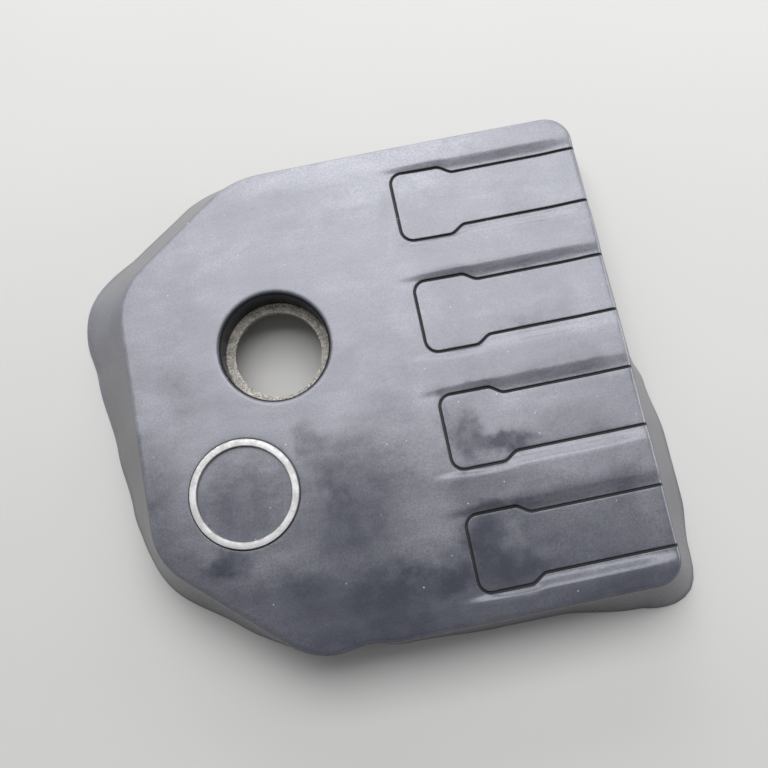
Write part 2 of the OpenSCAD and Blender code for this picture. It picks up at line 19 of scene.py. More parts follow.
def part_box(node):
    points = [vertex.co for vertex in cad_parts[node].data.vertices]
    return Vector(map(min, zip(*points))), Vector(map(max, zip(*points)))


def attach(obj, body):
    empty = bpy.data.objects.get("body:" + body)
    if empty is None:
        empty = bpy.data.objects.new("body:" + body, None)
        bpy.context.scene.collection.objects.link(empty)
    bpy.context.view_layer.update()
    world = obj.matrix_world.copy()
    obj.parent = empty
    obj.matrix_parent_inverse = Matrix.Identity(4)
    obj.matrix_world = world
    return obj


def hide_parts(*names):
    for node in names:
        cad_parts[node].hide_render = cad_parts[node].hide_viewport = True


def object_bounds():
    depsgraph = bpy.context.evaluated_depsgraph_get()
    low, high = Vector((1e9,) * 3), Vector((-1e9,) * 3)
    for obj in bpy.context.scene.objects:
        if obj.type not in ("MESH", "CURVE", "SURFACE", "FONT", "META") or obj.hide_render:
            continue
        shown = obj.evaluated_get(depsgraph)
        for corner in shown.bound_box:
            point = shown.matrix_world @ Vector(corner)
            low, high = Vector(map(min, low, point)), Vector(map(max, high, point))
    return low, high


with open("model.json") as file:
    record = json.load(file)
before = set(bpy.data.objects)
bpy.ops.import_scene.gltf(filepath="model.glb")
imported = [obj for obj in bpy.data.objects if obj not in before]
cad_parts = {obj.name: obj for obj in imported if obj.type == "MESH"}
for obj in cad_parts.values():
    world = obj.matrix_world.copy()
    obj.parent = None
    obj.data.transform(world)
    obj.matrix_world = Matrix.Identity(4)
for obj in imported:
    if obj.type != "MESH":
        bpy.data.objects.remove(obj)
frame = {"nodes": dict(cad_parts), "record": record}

scene = bpy.context.scene
cad_low, cad_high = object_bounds()
print("the model's box in mm", [round(1000 * c) for c in (*cad_low, *cad_high)])

# %% [markdown]
# The driving sizes are the drawing's own: a cover is laid out from its panel, and its fields,
# opening and badge are placed from the middle of that panel. The places could be read off the
# finished solids, but then a rounded edge would have nothing to follow, so the rules are written
# again here.

# %% Sizes of the moulding, in millimetres
panel_l, panel_w = 274.0, 271.5
rear_cut_x, rear_cut_y = 75.0, 54.0
front_cut_x, front_cut_y = 73.0, 65.5
cut_r, corner_r = 38.0, 15.0
crown_rise, wall, edge_r, skirt_h = 4.0, 2.5, 3.0, 40.0
half_l, half_w = panel_l / 2, panel_w / 2

field_pitch, head_w, head_l = 66.0, 41.6, 27.5
step_d, step_l, head_r, field_x = 4.5, 9.5, 7.0, 28.3
trough_d, trough_wall, trough_step, trough_fade = 2.6, 3.8, 3.0, 42.0
trough_lead, runout_share, runout_l = 0.36, 0.6, 25.0
groove_w, groove_d, lip_r = 1.5, 1.4, 0.4
field_y = [1.5 * field_pitch - 1 - i * field_pitch for i in range(4)]

filler_x, filler_y, filler_r, rim_r = -53.8, 32.8, 30.0, 3.0
collar_depth, foam_hole_r = 20.0, 24.8
badge_x, badge_y, badge_r, band_w, band_h = -83.7, -43.8, 29.4, 3.7, 2.6
recess_d, recess_gap, badge_pin_r = 0.9, 0.6, 1.5
land_share, land_blend, filler_flat, badge_flat = 0.82, 22.0, 12.0, 8.0
land_top = skirt_h + land_share * crown_rise
foam_top = land_top - collar_depth

mount_at = {mount["name"]: mount["pos_m"] for mount in frame["record"]["mounts"]}
middle = np.array([filler_x, filler_y]) - 1000 * np.array(mount_at["filler_opening"][:2])
print("panel's middle to the model's origin, mm", middle.round(3))


# %% [markdown]
# The panel is a low crown, so that light rolls over it as it does over a real moulding. It is
# level round the filler opening and the badge, because both sit on flat lands, and it dips into
# a shallow trough along each field. One function of x and y holds the whole shape. It could be a
# grid that is pushed about by hand, but a function also gives the height wherever a finer edge
# needs it.

# %% Height of the panel
def smooth(t):
    k = np.clip(t, 0, 1)
    return k * k * (3 - 2 * k)


def land(x, y, cx, cy, r):
    return 1 - smooth((np.hypot(x - cx, y - cy) - r) / land_blend)


def panel_z(x, y):
    x, y = np.asarray(x, float), np.asarray(y, float)
    crown = crown_rise * (1 - (x / half_l) ** 2 / 2 - (y / half_w) ** 2 / 2)
    level = 1 - (1 - land(x, y, filler_x, filler_y, filler_r + rim_r + filler_flat)) \
        * (1 - land(x, y, badge_x, badge_y, badge_r + badge_flat))
    half = head_w / 2 - trough_step * smooth((x - field_x - head_l) / step_l)
    wall_run = head_w / 2 + trough_wall - half
    trough = np.max([1 - smooth((abs(y - c) - half) / wall_run) for c in field_y], axis=0)
    fade = smooth((x - field_x + trough_lead * trough_fade) / trough_fade)
    runout = 1 - runout_share * smooth((x - half_l + runout_l) / runout_l)
    return skirt_h + crown * (1 - level) + land_share * crown_rise * level - trough_d * trough * fade * runout




# %% [markdown]
# The outline is six straight edges joined by arcs. Walking round it gives a point on the crease
# and the direction that the skirt leaves it in. Every ring below the panel is then a step along
# that direction, so the rolled edge and the flared skirt follow the outline by themselves.

# %% Outline of the panel
corners = [
    (-half_l + rear_cut_x, half_w, 1.4 * cut_r), (-half_l, half_w - rear_cut_y, cut_r),
    (-half_l, -half_w + front_cut_y, cut_r), (-half_l + front_cut_x, -half_w, cut_r),
    (half_l, -half_w, corner_r), (half_l, half_w, corner_r)]


def unit(a):
    return np.array([math.cos(a), math.sin(a)])


def edge_angle(i):
    (x0, y0, _), (x1, y1, _) = corners[i % 6], corners[(i + 1) % 6]
    return math.atan2(x0 - x1, y1 - y0)


def outline(step, right_edge_y):
    """Crease points and outward directions, counter-clockwise, with chosen heights on the right."""
    points, angles = [], []
    ends = []
    for i, (x, y, r) in enumerate(corners):
        a0, a1 = edge_angle(i - 1), edge_angle(i)
        a1 = a0 + (a1 - a0) % (2 * math.pi)
        n0, n1 = unit(a0), unit(a1)
        centre = np.array([x, y]) - r * (n0 + n1) / (1 + n0 @ n1)
        ends.append((centre, r, a0, a1))
    for i, (centre, r, a0, a1) in enumerate(ends):
        n = max(4, int(r * (a1 - a0) / step))
        for t in np.linspace(0, 1, n + 1):
            a = a0 + (a1 - a0) * t
            points.append(centre + r * unit(a))
            angles.append(a)
        after, r2, b0, _ = ends[(i + 1) % 6]
        start, stop = points[-1], after + r2 * unit(b0)
        if i == 4:
            ys = [y for y in right_edge_y if start[1] + 0.3 < y < stop[1] - 0.3]
            for y in ys:
                points.append(np.array([half_l, y]))
                angles.append(b0)
        else:
            m = int(np.linalg.norm(stop - start) / step)
            for k in range(1, m):
                points.append(start + (stop - start) * k / m)
                angles.append(b0)
    points, angles = np.array(points), np.array(angles)
    facing = np.stack([np.cos(angles), np.sin(angles)], 1)
    front = np.clip((-facing[:, 1] - 0.9) / 0.1, 0, 1)
    relief = relief_d * (1 - smooth(abs(points[:, 0] - relief_x) / (relief_l / 2)))
    points[:, 1] += relief * front
    return points, facing


relief_d, relief_l, relief_x = 2.0, 34.0, -34.0
out_rear, out_rear_left, out_left, out_front_left = 14.0, 31.5, 22.0, 13.0
out_front, out_front_right, out_right, out_rear_right = 4.5, 20.0, 12.0, 11.0


def between(a, b, share):
    return a + (b - a) * share


flare_stations = [
    (-180, out_left), (-165, between(out_left, out_front_left, 0.45)), (-154, out_front_left),
    (-147, out_front_left), (-133, between(out_front_left, out_front, 0.37)), (-112, out_front / 2),
    (-95, out_front), (-75, between(out_front, out_front_right, 0.14)),
    (-62, between(out_front, out_front_right, 0.14)), (-49, between(out_front, out_front_right, 0.5)),
    (-44.3, out_front_right), (-41.5, between(out_right, out_front_right, 0.56)),
    (-34, out_front_right), (-22, out_front_right), (-9, between(out_right, out_front_right, 0.5)),
    (-2, out_right), (45, out_rear_right), (90, out_rear), (114, between(out_rear, out_rear_left, 0.23)),
    (124, between(out_rear, out_rear_left, 0.52)), (141, between(out_rear, out_rear_left, 0.56)),
    (151, out_rear_left), (162, between(out_left, out_rear_left, 0.56)), (180, out_left)]


def flare(p):
    """How far the foot of the skirt stands out, by the direction from the panel's middle."""
    a = np.degrees(np.arctan2(p[:, 1], p[:, 0]))
    at = np.array([s[0] for s in flare_stations], float)
    out = np.array([s[1] for s in flare_stations], float)
    i = np.clip(np.searchsorted(at, a, side="left") - 1, 0, len(at) - 2)
    return out[i] + (out[i + 1] - out[i]) * smooth((a - at[i]) / (at[i + 1] - at[i]))


# %% [markdown]
# Each field has an outline groove: two straight sides that run out over the right edge, a step
# inwards, and a round-cornered head. A swept cutter would do, but it leaves hard lips. Here the
# groove is a profile, a depth for each distance from its centre line, so its lips can be rounded
# as a mould tool leaves them.

# %% Centre lines of the grooves
def groove_line(c):
    """Points of one field's groove, from the open end round the head and back."""
    wide, narrow = head_w / 2, head_w / 2 - step_d
    step_x = field_x + head_l
    half = [(x, narrow) for x in np.linspace(half_l + 4, step_x + step_l, 34)[:-1]]
    half += [(step_x + step_l * t, wide + (narrow - wide) * float(smooth(t))) for t in np.linspace(1, 0, 13)]
    half += [(x, wide) for x in np.linspace(step_x, field_x + head_r, 9)[1:-1]]
    half += [(field_x + head_r + head_r * math.cos(a), wide - head_r + head_r * math.sin(a))
             for a in np.linspace(math.pi / 2, math.pi, 13)]
    ends = np.linspace(wide - head_r, 0, 7)[1:]
    half += [(field_x, y) for y in ends]
    other = [(x, -y) for x, y in half[-2::-1]]
    return np.array(half + other) + [0, c]


groove_lines = [groove_line(c) for c in field_y]
# Distance from the centre line, and the share of the depth there
groove_profile = [
    (0.0, 1.0), (groove_w / 2 - 0.12, 1.0), (groove_w / 2 - 0.04, 0.88), (groove_w / 2, 0.30),
    (groove_w / 2 + 0.08, 0.14), (groove_w / 2 + 0.2, 0.05), (groove_w / 2 + 0.35, 0.012),
    (groove_w / 2 + lip_r + 0.1, 0.0)]


def distance_to_line(p, line):
    a, b = line[:-1], line[1:]
    ab = b - a
    best = np.full(len(p), 1e9)
    for start, along in zip(a, ab):
        t = np.clip(((p - start) @ along) / (along @ along), 0, 1)
        best = np.minimum(best, np.hypot(*(p - start - t[:, None] * along).T))
    return best


def groove_share(p):
    """Share of the groove's depth at each point, 0 outside the grooves and 1 on their floors."""
    share = np.zeros(len(p))
    d_at, s_at = zip(*groove_profile)
    for line in groove_lines:
        lo, hi = line.min(0) - 3, line.max(0) + 3
        near = np.all((p > lo) & (p < hi), axis=1)
        if near.any():
            d = distance_to_line(p[near], line)
            share[near] = np.maximum(share[near], np.interp(d, d_at, s_at))
    return share


def offset_line(line, d):
    along = np.gradient(line, axis=0)
    along /= np.linalg.norm(along, axis=1)[:, None]
    return line + d * np.stack([-along[:, 1], along[:, 0]], 1)


# %% [markdown]
# The underside is already right in the solid: ribs, gussets, holders and pins. Its triangles are
# copied and merged, and the faces that belong to the outside are found by walking over them from
# the top, stopping at the foot's inner edge and at the end of the collar. What the walk reaches
# is left out, and the finer skin takes its place. Modelling the ribs again would only risk
# leaving a gap between the two.

# %% Underside from the solid
MM = 0.001


def to_frame(points):
    p = np.array(points, float)
    p[:, :2] -= middle
    return p / 1000


weld, touch = 2e-6, 0.01


def merged_copy(node):
    copy = bmesh.new()
    copy.from_mesh(frame["nodes"][node].data)
    bmesh.ops.remove_doubles(copy, verts=copy.verts, dist=weld)
    return copy


cad = merged_copy("cover_shell")
cad.faces.ensure_lookup_table()
cad.normal_update()
in_mm = {v: np.array([1000 * v.co.x + middle[0], 1000 * v.co.y + middle[1], 1000 * v.co.z])
         for v in cad.verts}
pin_turns, pin_clear = (90, 210, 330), 2.2
pin_at = np.array([[badge_x, badge_y] + (badge_r - band_w / 2) * unit(math.radians(a)) for a in pin_turns])


def centre_of(f):
    return np.mean([in_mm[v] for v in f.verts], axis=0)


def is_foot(f):
    return f.normal.z < -0.99 and max(in_mm[v][2] for v in f.verts) < touch


def is_collar_outside(f):
    c = centre_of(f)
    r = math.hypot(c[0] - filler_x, c[1] - filler_y)
    return abs(r - filler_r - wall) < 0.3 and foam_top - touch < c[2] < land_top - 1


def is_pin_hole(f):
    c = centre_of(f)
    return np.hypot(*(pin_at - c[:2]).T).min() < badge_pin_r + 0.25 and c[2] < land_top - recess_d - touch


seed = max(cad.faces, key=lambda f: centre_of(f)[2])
reached, queue = {seed}, [seed]
while queue:
    f = queue.pop()
    f_foot = is_foot(f)
    for e in f.edges:
        for g in e.link_faces:
            if g in reached or (f_foot and not is_foot(g)) or is_collar_outside(g) or is_pin_hole(g):
                continue
            reached.add(g)
            queue.append(g)
print("faces of the solid", len(cad.faces), "of them outside", len(reached))
bmesh.ops.delete(cad, geom=list(reached), context="FACES")
edges_left = [e for e in cad.edges if len(e.link_faces) == 1]


def loops_of(edges):
    after = {}
    for e in edges:
        for a, b in (e.verts, reversed(e.verts)):
            after.setdefault(a, []).append(b)
    loops, seen = [], set()
    for start in after:
        if start in seen:
            continue
        loop, last, here = [start], None, start
        seen.add(start)
        while True:
            step = [v for v in after[here] if v is not last and v not in seen]
            if not step:
                break
            last, here = here, step[0]
            seen.add(here)
            loop.append(here)
        loops.append(loop)
    return loops


open_loops = loops_of(edges_left)
loop_points = [np.array([in_mm[v] for v in loop]) for loop in open_loops]
foot_inner = max(loop_points, key=lambda p: np.ptp(p[:, 0]))
collar_outer = next(p for p in loop_points if 50 < np.ptp(p[:, 0]) < 80)
pin_mouths = [p for p in loop_points if np.ptp(p[:, 0]) < 10]


# %% [markdown]
# The panel's skin is drawn flat first: the outline, the rims of the holes and every line that a
# groove's profile needs, with an even scatter of points between them. A constrained Delaunay
# triangulation joins them without crossing a line, and only then does the height function lift
# the flat drawing into the crowned panel. Subdividing a grid would need far more faces for the
# same sharp grooves.

# %% The flat drawing of the panel
rim_step, fill_step, wall_step, far_step = 2.4, 2.6, 2.8, 5.0
row_gap, wall_gap, point_gap, near_x = 0.9, 0.8, 0.75, field_x - 24
edge_x = half_l - edge_r
wall_at = head_w / 2 + np.linspace(-trough_step, trough_wall, 10)
right_y = []
for c in field_y:
    for side in (-1, 1):
        y0 = c + side * (head_w / 2 - step_d)
        right_y += [y0 + s * d for d, _ in groove_profile for s in ((-1, 1) if d else (1,))]
        right_y += [c + side * d for d in wall_at]
for y in np.arange(-half_w + corner_r, half_w - corner_r, rim_step):
    if min(abs(y - np.array(right_y))) > row_gap:
        right_y.append(y)
crease, facing = outline(rim_step, sorted(right_y))
rim_xy = crease - edge_r * facing
rim_count = len(rim_xy)

flat, joined = [], []


def add_loop(points, closed=True):
    first = len(flat)
    flat.extend(map(tuple, points))
    n = len(points)
    joined.extend((first + k, first + (k + 1) % n) for k in range(n if closed else n - 1))
    return first


def circle(cx, cy, r, n):
    a = np.linspace(0, 2 * math.pi, n, endpoint=False)
    return np.stack([cx + r * np.cos(a), cy + r * np.sin(a)], 1)


filler_sides, badge_sides = 128, 120
add_loop(rim_xy)
filler_first = add_loop(circle(filler_x, filler_y, filler_r + rim_r, filler_sides))
for grow in (1.0, 2.5):
    add_loop(circle(filler_x, filler_y, filler_r + rim_r + grow, filler_sides))
recess_profile = [(-0.35, 1.0), (-0.08, 0.9), (0.0, 0.6), (0.12, 0.18), (0.3, 0.04), (0.55, 0.0)]
for grow, _ in recess_profile:
    add_loop(circle(badge_x, badge_y, badge_r + recess_gap + grow, badge_sides))
for line in groove_lines:
    for d, _ in groove_profile:
        for side in ((-1, 1) if d else (1,)):
            run = offset_line(line, side * d)
            run = run[run[:, 0] < edge_x - 0.4]
            y0, y1 = run[0, 1], run[-1, 1]
            add_loop(np.vstack([[edge_x, y0], run, [edge_x, y1]]), closed=False)

mouth_first = [add_loop(mouth[:, :2]) for mouth in pin_mouths]

fixed = np.array(flat)
rows = list(np.arange(-half_w, half_w, fill_step))
rows = [y for y in rows if min(min(abs(abs(y - c) - wall_at)) for c in field_y) > wall_gap]
wall_rows = [c + s * d for c in field_y for s in (-1, 1) for d in wall_at]
scatter = [(x + fill_step / 2 * (j % 2), y) for j, y in enumerate(rows)
           for x in np.arange(-half_l, half_l, fill_step)]
scatter += [(x, y) for y in wall_rows for x in np.arange(near_x, half_l, wall_step)]
scatter += [(x, y) for y in wall_rows for x in np.arange(-half_l, near_x, far_step)]
scatter = np.array(scatter)


def within_loops(cells, points, loops):
    """Which triangles to keep. All three corners on one loop: its turn tells inside from outside."""
    keep = np.ones(len(cells), bool)
    for ids, side in loops:
        xy = points[ids]
        area = np.sum(xy[:, 0] * np.roll(xy[:, 1], -1) - np.roll(xy[:, 0], -1) * xy[:, 1])
        place = np.full(len(points), -1)
        place[ids if area > 0 else ids[::-1]] = np.arange(len(ids))
        on = np.all(place[cells] >= 0, axis=1)
        t = np.take_along_axis(cells[on], np.argsort(place[cells[on]], axis=1), axis=1)
        a, b, c = points[t[:, 0]], points[t[:, 1]], points[t[:, 2]]
        turn = (b - a)[:, 0] * (c - a)[:, 1] - (b - a)[:, 1] * (c - a)[:, 0]
        keep[on] = turn * side > 0
    return keep


def inside_loop(p, loop):
    a, b = loop, np.roll(loop, -1, axis=0)
    hit = np.zeros(len(p), int)
    for (x0, y0), (x1, y1) in zip(a, b):
        if y0 != y1:
            span = (p[:, 1] >= min(y0, y1)) & (p[:, 1] < max(y0, y1))
            hit += span & (p[:, 0] < x0 + (p[:, 1] - y0) * (x1 - x0) / (y1 - y0))
    return hit % 2 == 1


def triangulated(points, edges, loops, merge):
    """Points and triangles of a flat drawing, and its loops' ids, each from a start, count and side."""
    drawn, _, cells, olds_of, _, _ = delaunay_2d_cdt([Vector(p) for p in points], edges, [], 0, merge, True)
    drawn, cells = np.array([tuple(p) for p in drawn]), np.array(cells)
    place = {old: k for k, olds in enumerate(olds_of) for old in olds}
    ids = [np.array([place[first + k] for k in range(count)]) for first, count, _ in loops]
    sides = [side for _, _, side in loops]
    return drawn, cells[within_loops(cells, drawn, zip(ids, sides))], ids


tree = KDTree(len(fixed))
for k, (x, y) in enumerate(fixed):
    tree.insert((x, y, 0), k)
tree.balance()
inside = inside_loop(scatter, rim_xy)
from_filler = np.hypot(scatter[:, 0] - filler_x, scatter[:, 1] - filler_y)
from_pins = np.min([np.hypot(*(scatter - at).T) for at in pin_at], axis=0)
scatter = scatter[inside & (from_filler > filler_r + rim_r) & (from_pins > pin_clear)]
scatter = [p for p in scatter if tree.find((p[0], p[1], 0))[2] > point_gap]
flat.extend(map(tuple, scatter))

rims = [(0, rim_count, 1), (filler_first, filler_sides, -1)]
rims += [(first, len(mouth), -1) for first, mouth in zip(mouth_first, pin_mouths)]
drawn, triangles, (rim_ids, filler_ids, *_) = triangulated(flat, joined, rims, 1e-5)


# %% [markdown]
# Now the flat drawing is lifted. The rolled edge and the skirt are rings that start at its rim:
# each ring keeps the rim's points, so the faces between two rings are plain quads. A bevel could
# round the edge instead, but it would also round the mouths of the grooves, which the real
# moulding leaves crisp.

# %% Skin of the panel, its rolled edge and its skirt
recess_share = np.interp(np.hypot(drawn[:, 0] - badge_x, drawn[:, 1] - badge_y) - badge_r - recess_gap,
                         *zip(*recess_profile))
groove_at = groove_share(drawn)
skin = np.column_stack([drawn, panel_z(*drawn.T) - groove_d * groove_at - recess_d * recess_share])
skin_groove = list(groove_at)
verts, faces = [tuple(p) for p in skin], [tuple(int(k) for k in t) for t in triangles]


def next_ring(last, points, groove=0.0, inward=False):
    """Add a ring of points and the quads that join it to the last one."""
    first, n = len(verts), len(points)
    verts.extend(map(tuple, points))
    skin_groove.extend(np.broadcast_to(groove, n))
    ring = list(range(first, first + n))
    a, b = (ring, last) if inward else (last, ring)
    faces.extend((a[k], b[k], b[(k + 1) % n], a[(k + 1) % n]) for k in range(n))
    return ring


rim_z = panel_z(*rim_xy.T)
rim_groove = groove_share(rim_xy)
reach = flare(crease)
lean = np.arctan2(reach, rim_z)
upper = rim_ids
roll_steps = 7
for k in range(1, roll_steps + 1):
    a = (math.pi / 2 - lean) * k / roll_steps
    out = crease + (edge_r * np.sin(a) - edge_r)[:, None] * facing
    drop = np.maximum(edge_r * (1 - np.cos(a)), groove_d * rim_groove)
    in_groove = rim_groove * (drop > edge_r * (1 - np.cos(a)) + 0.05)
    upper = next_ring(upper, np.column_stack([out, rim_z - drop]), in_groove)
roll_end = np.array([verts[k] for k in upper])
foot_out = crease + reach[:, None] * facing
foot_soft = 0.5
for share in (0.06, 0.2, 0.4, 0.6, 0.8, 0.97):
    z = roll_end[:, 2] * (1 - share)
    xy = roll_end[:, :2] + (foot_out - roll_end[:, :2]) * share
    upper = next_ring(upper, np.column_stack([xy, z]))
for a in np.radians([0, 45, 90]):
    xy = foot_out - (foot_soft * (1 - np.cos(a)) + 0.02) * facing
    upper = next_ring(upper, np.column_stack([xy, np.full(rim_count, foot_soft * (1 - math.sin(a)))]))
foot_ring = upper

circle_dirs = circle(0, 0, 1, filler_sides)
collar_end = 0.4
collar = [(filler_r + rim_r * (1 - math.sin(a)), land_top - rim_r * (1 - math.cos(a)))
          for a in np.linspace(0, math.pi / 2, 9)[1:]]
collar += [(filler_r, z) for z in np.linspace(land_top - rim_r, foam_top + collar_end, 5)[1:]]
collar.append((filler_r + collar_end, foam_top))
upper = filler_ids
for r, z in collar:
    around = np.array([filler_x, filler_y]) + r * circle_dirs
    upper = next_ring(upper, np.column_stack([around, np.full(filler_sides, z)]), inward=True)
collar_ring = upper


# %% [markdown]
# The outer skin and the underside meet at two flat rings: the foot that the cover stands on and
# the end of the collar. Both are filled with the same triangulation as the panel, so one skin
# closes on the other and the finished moulding is a single wall all over. A float on every point
# remembers how deep it lies in a groove, and another tells the outside from the inside, for the
# material to read later.

# %% Close the moulding
def fill_between(outer, inner, z):
    """Triangles of a flat ring that faces down, as points in mm and faces."""
    points = list(map(tuple, outer[:, :2])) + list(map(tuple, inner[:, :2]))
    n, m = len(outer), len(inner)
    edges = [(k, (k + 1) % n) for k in range(n)] + [(n + k, n + (k + 1) % m) for k in range(m)]
    flat_points, cells, _ = triangulated(points, edges, [(0, n, 1), (n, m, -1)], 1e-6)
    return np.column_stack([flat_points, np.full(len(flat_points), z)]), cells[:, ::-1]


skin_mm = np.array(verts)
low_mm, high_mm = 1000 * np.array(cad_low), 1000 * np.array(cad_high)
skin_mm[:, :2] = np.clip(skin_mm[:, :2] - middle, low_mm[:2] + touch, high_mm[:2] - touch) + middle
shell = bmesh.new()
groove_layer = shell.verts.layers.float.new("groove")
outside_layer = shell.verts.layers.float.new("outside")


def add_patch(points_mm, cells, groove=0.0, outside=0.0):
    groove = np.broadcast_to(groove, len(points_mm))
    made = []
    for p, g in zip(to_frame(points_mm), groove):
        v = shell.verts.new(p)
        v[groove_layer] = float(g)
        v[outside_layer] = outside
        made.append(v)
    for cell in cells:
        shell.faces.new([made[int(k)] for k in cell])


add_patch(skin_mm, faces, skin_groove, 1.0)
foot_loop = skin_mm[foot_ring]
foot_loop[:, 2] = 0.0
add_patch(*fill_between(foot_loop, foot_inner, 0.0))
add_patch(*fill_between(collar_outer, skin_mm[collar_ring], foam_top))
under_index = {v: k for k, v in enumerate(cad.verts)}
add_patch([in_mm[v] for v in cad.verts], [[under_index[v] for v in f.verts] for f in cad.faces])
cad.free()
bmesh.ops.delete(shell, geom=[v for v in shell.verts if not v.link_faces], context="VERTS")
bmesh.ops.remove_doubles(shell, verts=shell.verts, dist=1.5 * weld)
open_edges = [e for e in shell.edges if len(e.link_faces) != 2]
print("shell faces", len(shell.faces), "edges that aren't between two faces", len(open_edges))


# %% Helpers that turn meshes into finished pieces
def sharpen(mesh, degrees=40):
    mesh.shade_smooth()
    mesh.set_sharp_from_angle(angle=math.radians(degrees))


def placed(name, data):
    thing = bpy.data.objects.new(name, data)
    scene.collection.objects.link(thing)
    return thing


def piece_from_mesh(name, mesh, node, material=None):
    piece = placed(name, mesh)
    if material:
        mesh.materials.clear()
        mesh.materials.append(material)
    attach(piece, "root")
    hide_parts(node)
    return piece


shell_mesh = bpy.data.meshes.new("moulding")
shell.to_mesh(shell_mesh)
shell.free()
sharpen(shell_mesh, 32)
moulding = piece_from_mesh("moulding", shell_mesh, "cover_shell")
print("moulding triangles", sum(len(p.vertices) - 2 for p in shell_mesh.polygons))


# %% [markdown]
# Both shader graphs and geometry trees are built from nodes, so one small class writes either:
# it adds a node, sets its options, and for each input takes a plain value or another node's
# socket. Written out in full, every node would cost five lines and the graph would be lost
# among them.

# %% A graph of nodes
class Graph:
    def __init__(self, tree):
        self.tree = tree

    def add(self, kind, inputs=None, **settings):
        node = self.tree.nodes.new(kind)
        for key, value in settings.items():
            setattr(node, key, value)
        self.feed(node, inputs or {})
        return node

    def feed(self, node, inputs):
        for key, value in inputs.items():
            if isinstance(value, bpy.types.NodeSocket):
                self.tree.links.new(value, node.inputs[key])
            else:
                node.inputs[key].default_value = value

    def out(self, kind, inputs=None, **settings):
        return self.add(kind, inputs, **settings).outputs[0]

    def geo(self, kind, inputs=None, **settings):
        return self.out("GeometryNode" + kind, inputs, **settings)

    def calc(self, operation, a, b=0.0, clamp=False):
        return self.out("ShaderNodeMath", {0: a, 1: b}, operation=operation, use_clamp=clamp)

    def plus(self, a, b, clamp=False):
        return self.calc("ADD", a, b, clamp)

    def minus(self, a, b):
        return self.calc("SUBTRACT", a, b)

    def times(self, a, b, clamp=False):
        return self.calc("MULTIPLY", a, b, clamp)

    def faded(self, value, mask, amount):
        """The value, less that amount of it where the mask is full."""
        return self.times(value, self.minus(1.0, self.times(mask, amount)))

    def xyz(self, x=0.0, y=0.0, z=0.0):
        return self.out("ShaderNodeCombineXYZ", {0: x, 1: y, 2: z})

    def split(self, vector):
        return self.add("ShaderNodeSeparateXYZ", {0: vector}).outputs


# %% [markdown]
# A finish starts from the surface's own coordinates, turned into millimetres of the panel's
# drawing, so a stain can be placed with the same numbers as a hole. The methods are the few
# steps that every finish here is mixed from: noise, a soft threshold, a colour mix and an oval
# patch with a soft edge.

# %% Finishes as small node graphs
class Finish(Graph):
    def __init__(self, name):
        self.material = bpy.data.materials.new(name)
        self.material.use_nodes = True
        super().__init__(self.material.node_tree)
        self.tree.nodes.clear()
        self.shader = self.add("ShaderNodeBsdfPrincipled")
        self.add("ShaderNodeOutputMaterial", {"Surface": self.shader.outputs["BSDF"]})
        where = self.add("ShaderNodeTexCoord").outputs["Object"]
        inputs = {"Vector": where, "Location": (*middle, 0), "Scale": (1000,) * 3}
        self.mm = self.out("ShaderNodeMapping", inputs)

    def noise(self, per_mm, detail=2.0, rough=0.5, at=None, twist=0.0):
        inputs = {"Vector": at or self.mm, "Scale": per_mm, "Detail": detail, "Roughness": rough,
                  "Distortion": twist}
        return self.add("ShaderNodeTexNoise", inputs).outputs["Fac"]

    def ramp(self, value, low, high, to_low=0.0, to_high=1.0):
        inputs = {"Value": value, "From Min": low, "From Max": high, "To Min": to_low, "To Max": to_high}
        return self.add("ShaderNodeMapRange", inputs, interpolation_type="SMOOTHSTEP").outputs["Result"]

    def colour(self, share, a, b):
        mix = self.add("ShaderNodeMix", {0: share, 6: a, 7: b}, data_type="RGBA", clamp_factor=True)
        return mix.outputs[2]

    def stretched(self, sx, sy, turn):
        inputs = {"Vector": self.mm, "Rotation": (0, 0, math.radians(turn)), "Scale": (sx, sy, 1)}
        return self.out("ShaderNodeMapping", inputs)

    def patch(self, at, x, y, rx, ry, turn=0.0, soft=0.5):
        inputs = {"Vector": at, "Location": (x, y, 0), "Scale": (rx, ry, 1000),
                  "Rotation": (0, 0, math.radians(turn))}
        local = self.out("ShaderNodeMapping", inputs, vector_type="TEXTURE")
        away = self.add("ShaderNodeVectorMath", {0: local}, operation="LENGTH").outputs["Value"]
        return self.ramp(away, 1 + soft, 1 - soft)

    def attribute(self, name):
        return self.add("ShaderNodeAttribute", attribute_name=name).outputs["Fac"]

    def upward(self):
        return self.split(self.add("ShaderNodeNewGeometry").outputs["Normal"])["Z"]

    def cells(self, per_mm):
        """Cell noise: its distances and two random tones, one value each to a cell."""
        noise = self.add("ShaderNodeTexVoronoi", {"Vector": self.mm, "Scale": per_mm}).outputs
        tones = self.add("ShaderNodeSeparateColor", {0: noise["Color"]}).outputs
        return noise["Distance"], tones[0], tones[1]

    def bump(self, height, depth_mm, strength):
        return self.out("ShaderNodeBump", {"Height": height, "Distance": depth_mm * MM, "Strength": strength})

    def set(self, **sockets):
        self.feed(self.shader, {key.replace("_", " "): value for key, value in sockets.items()})


# %% [markdown]
# The moulding is talc-filled polyamide with a fine spark-eroded texture, and it has lived in an
# engine bay: a pale dust haze lies on everything that faces up, rubbed thin by hands and cloths in
# places. The haze is what makes it look grey, so the plastic below it is nearly black. Each rubbed
# place is an oval whose edge is broken up by noise. One big noise would also mottle it, but it
# would put the marks anywhere.

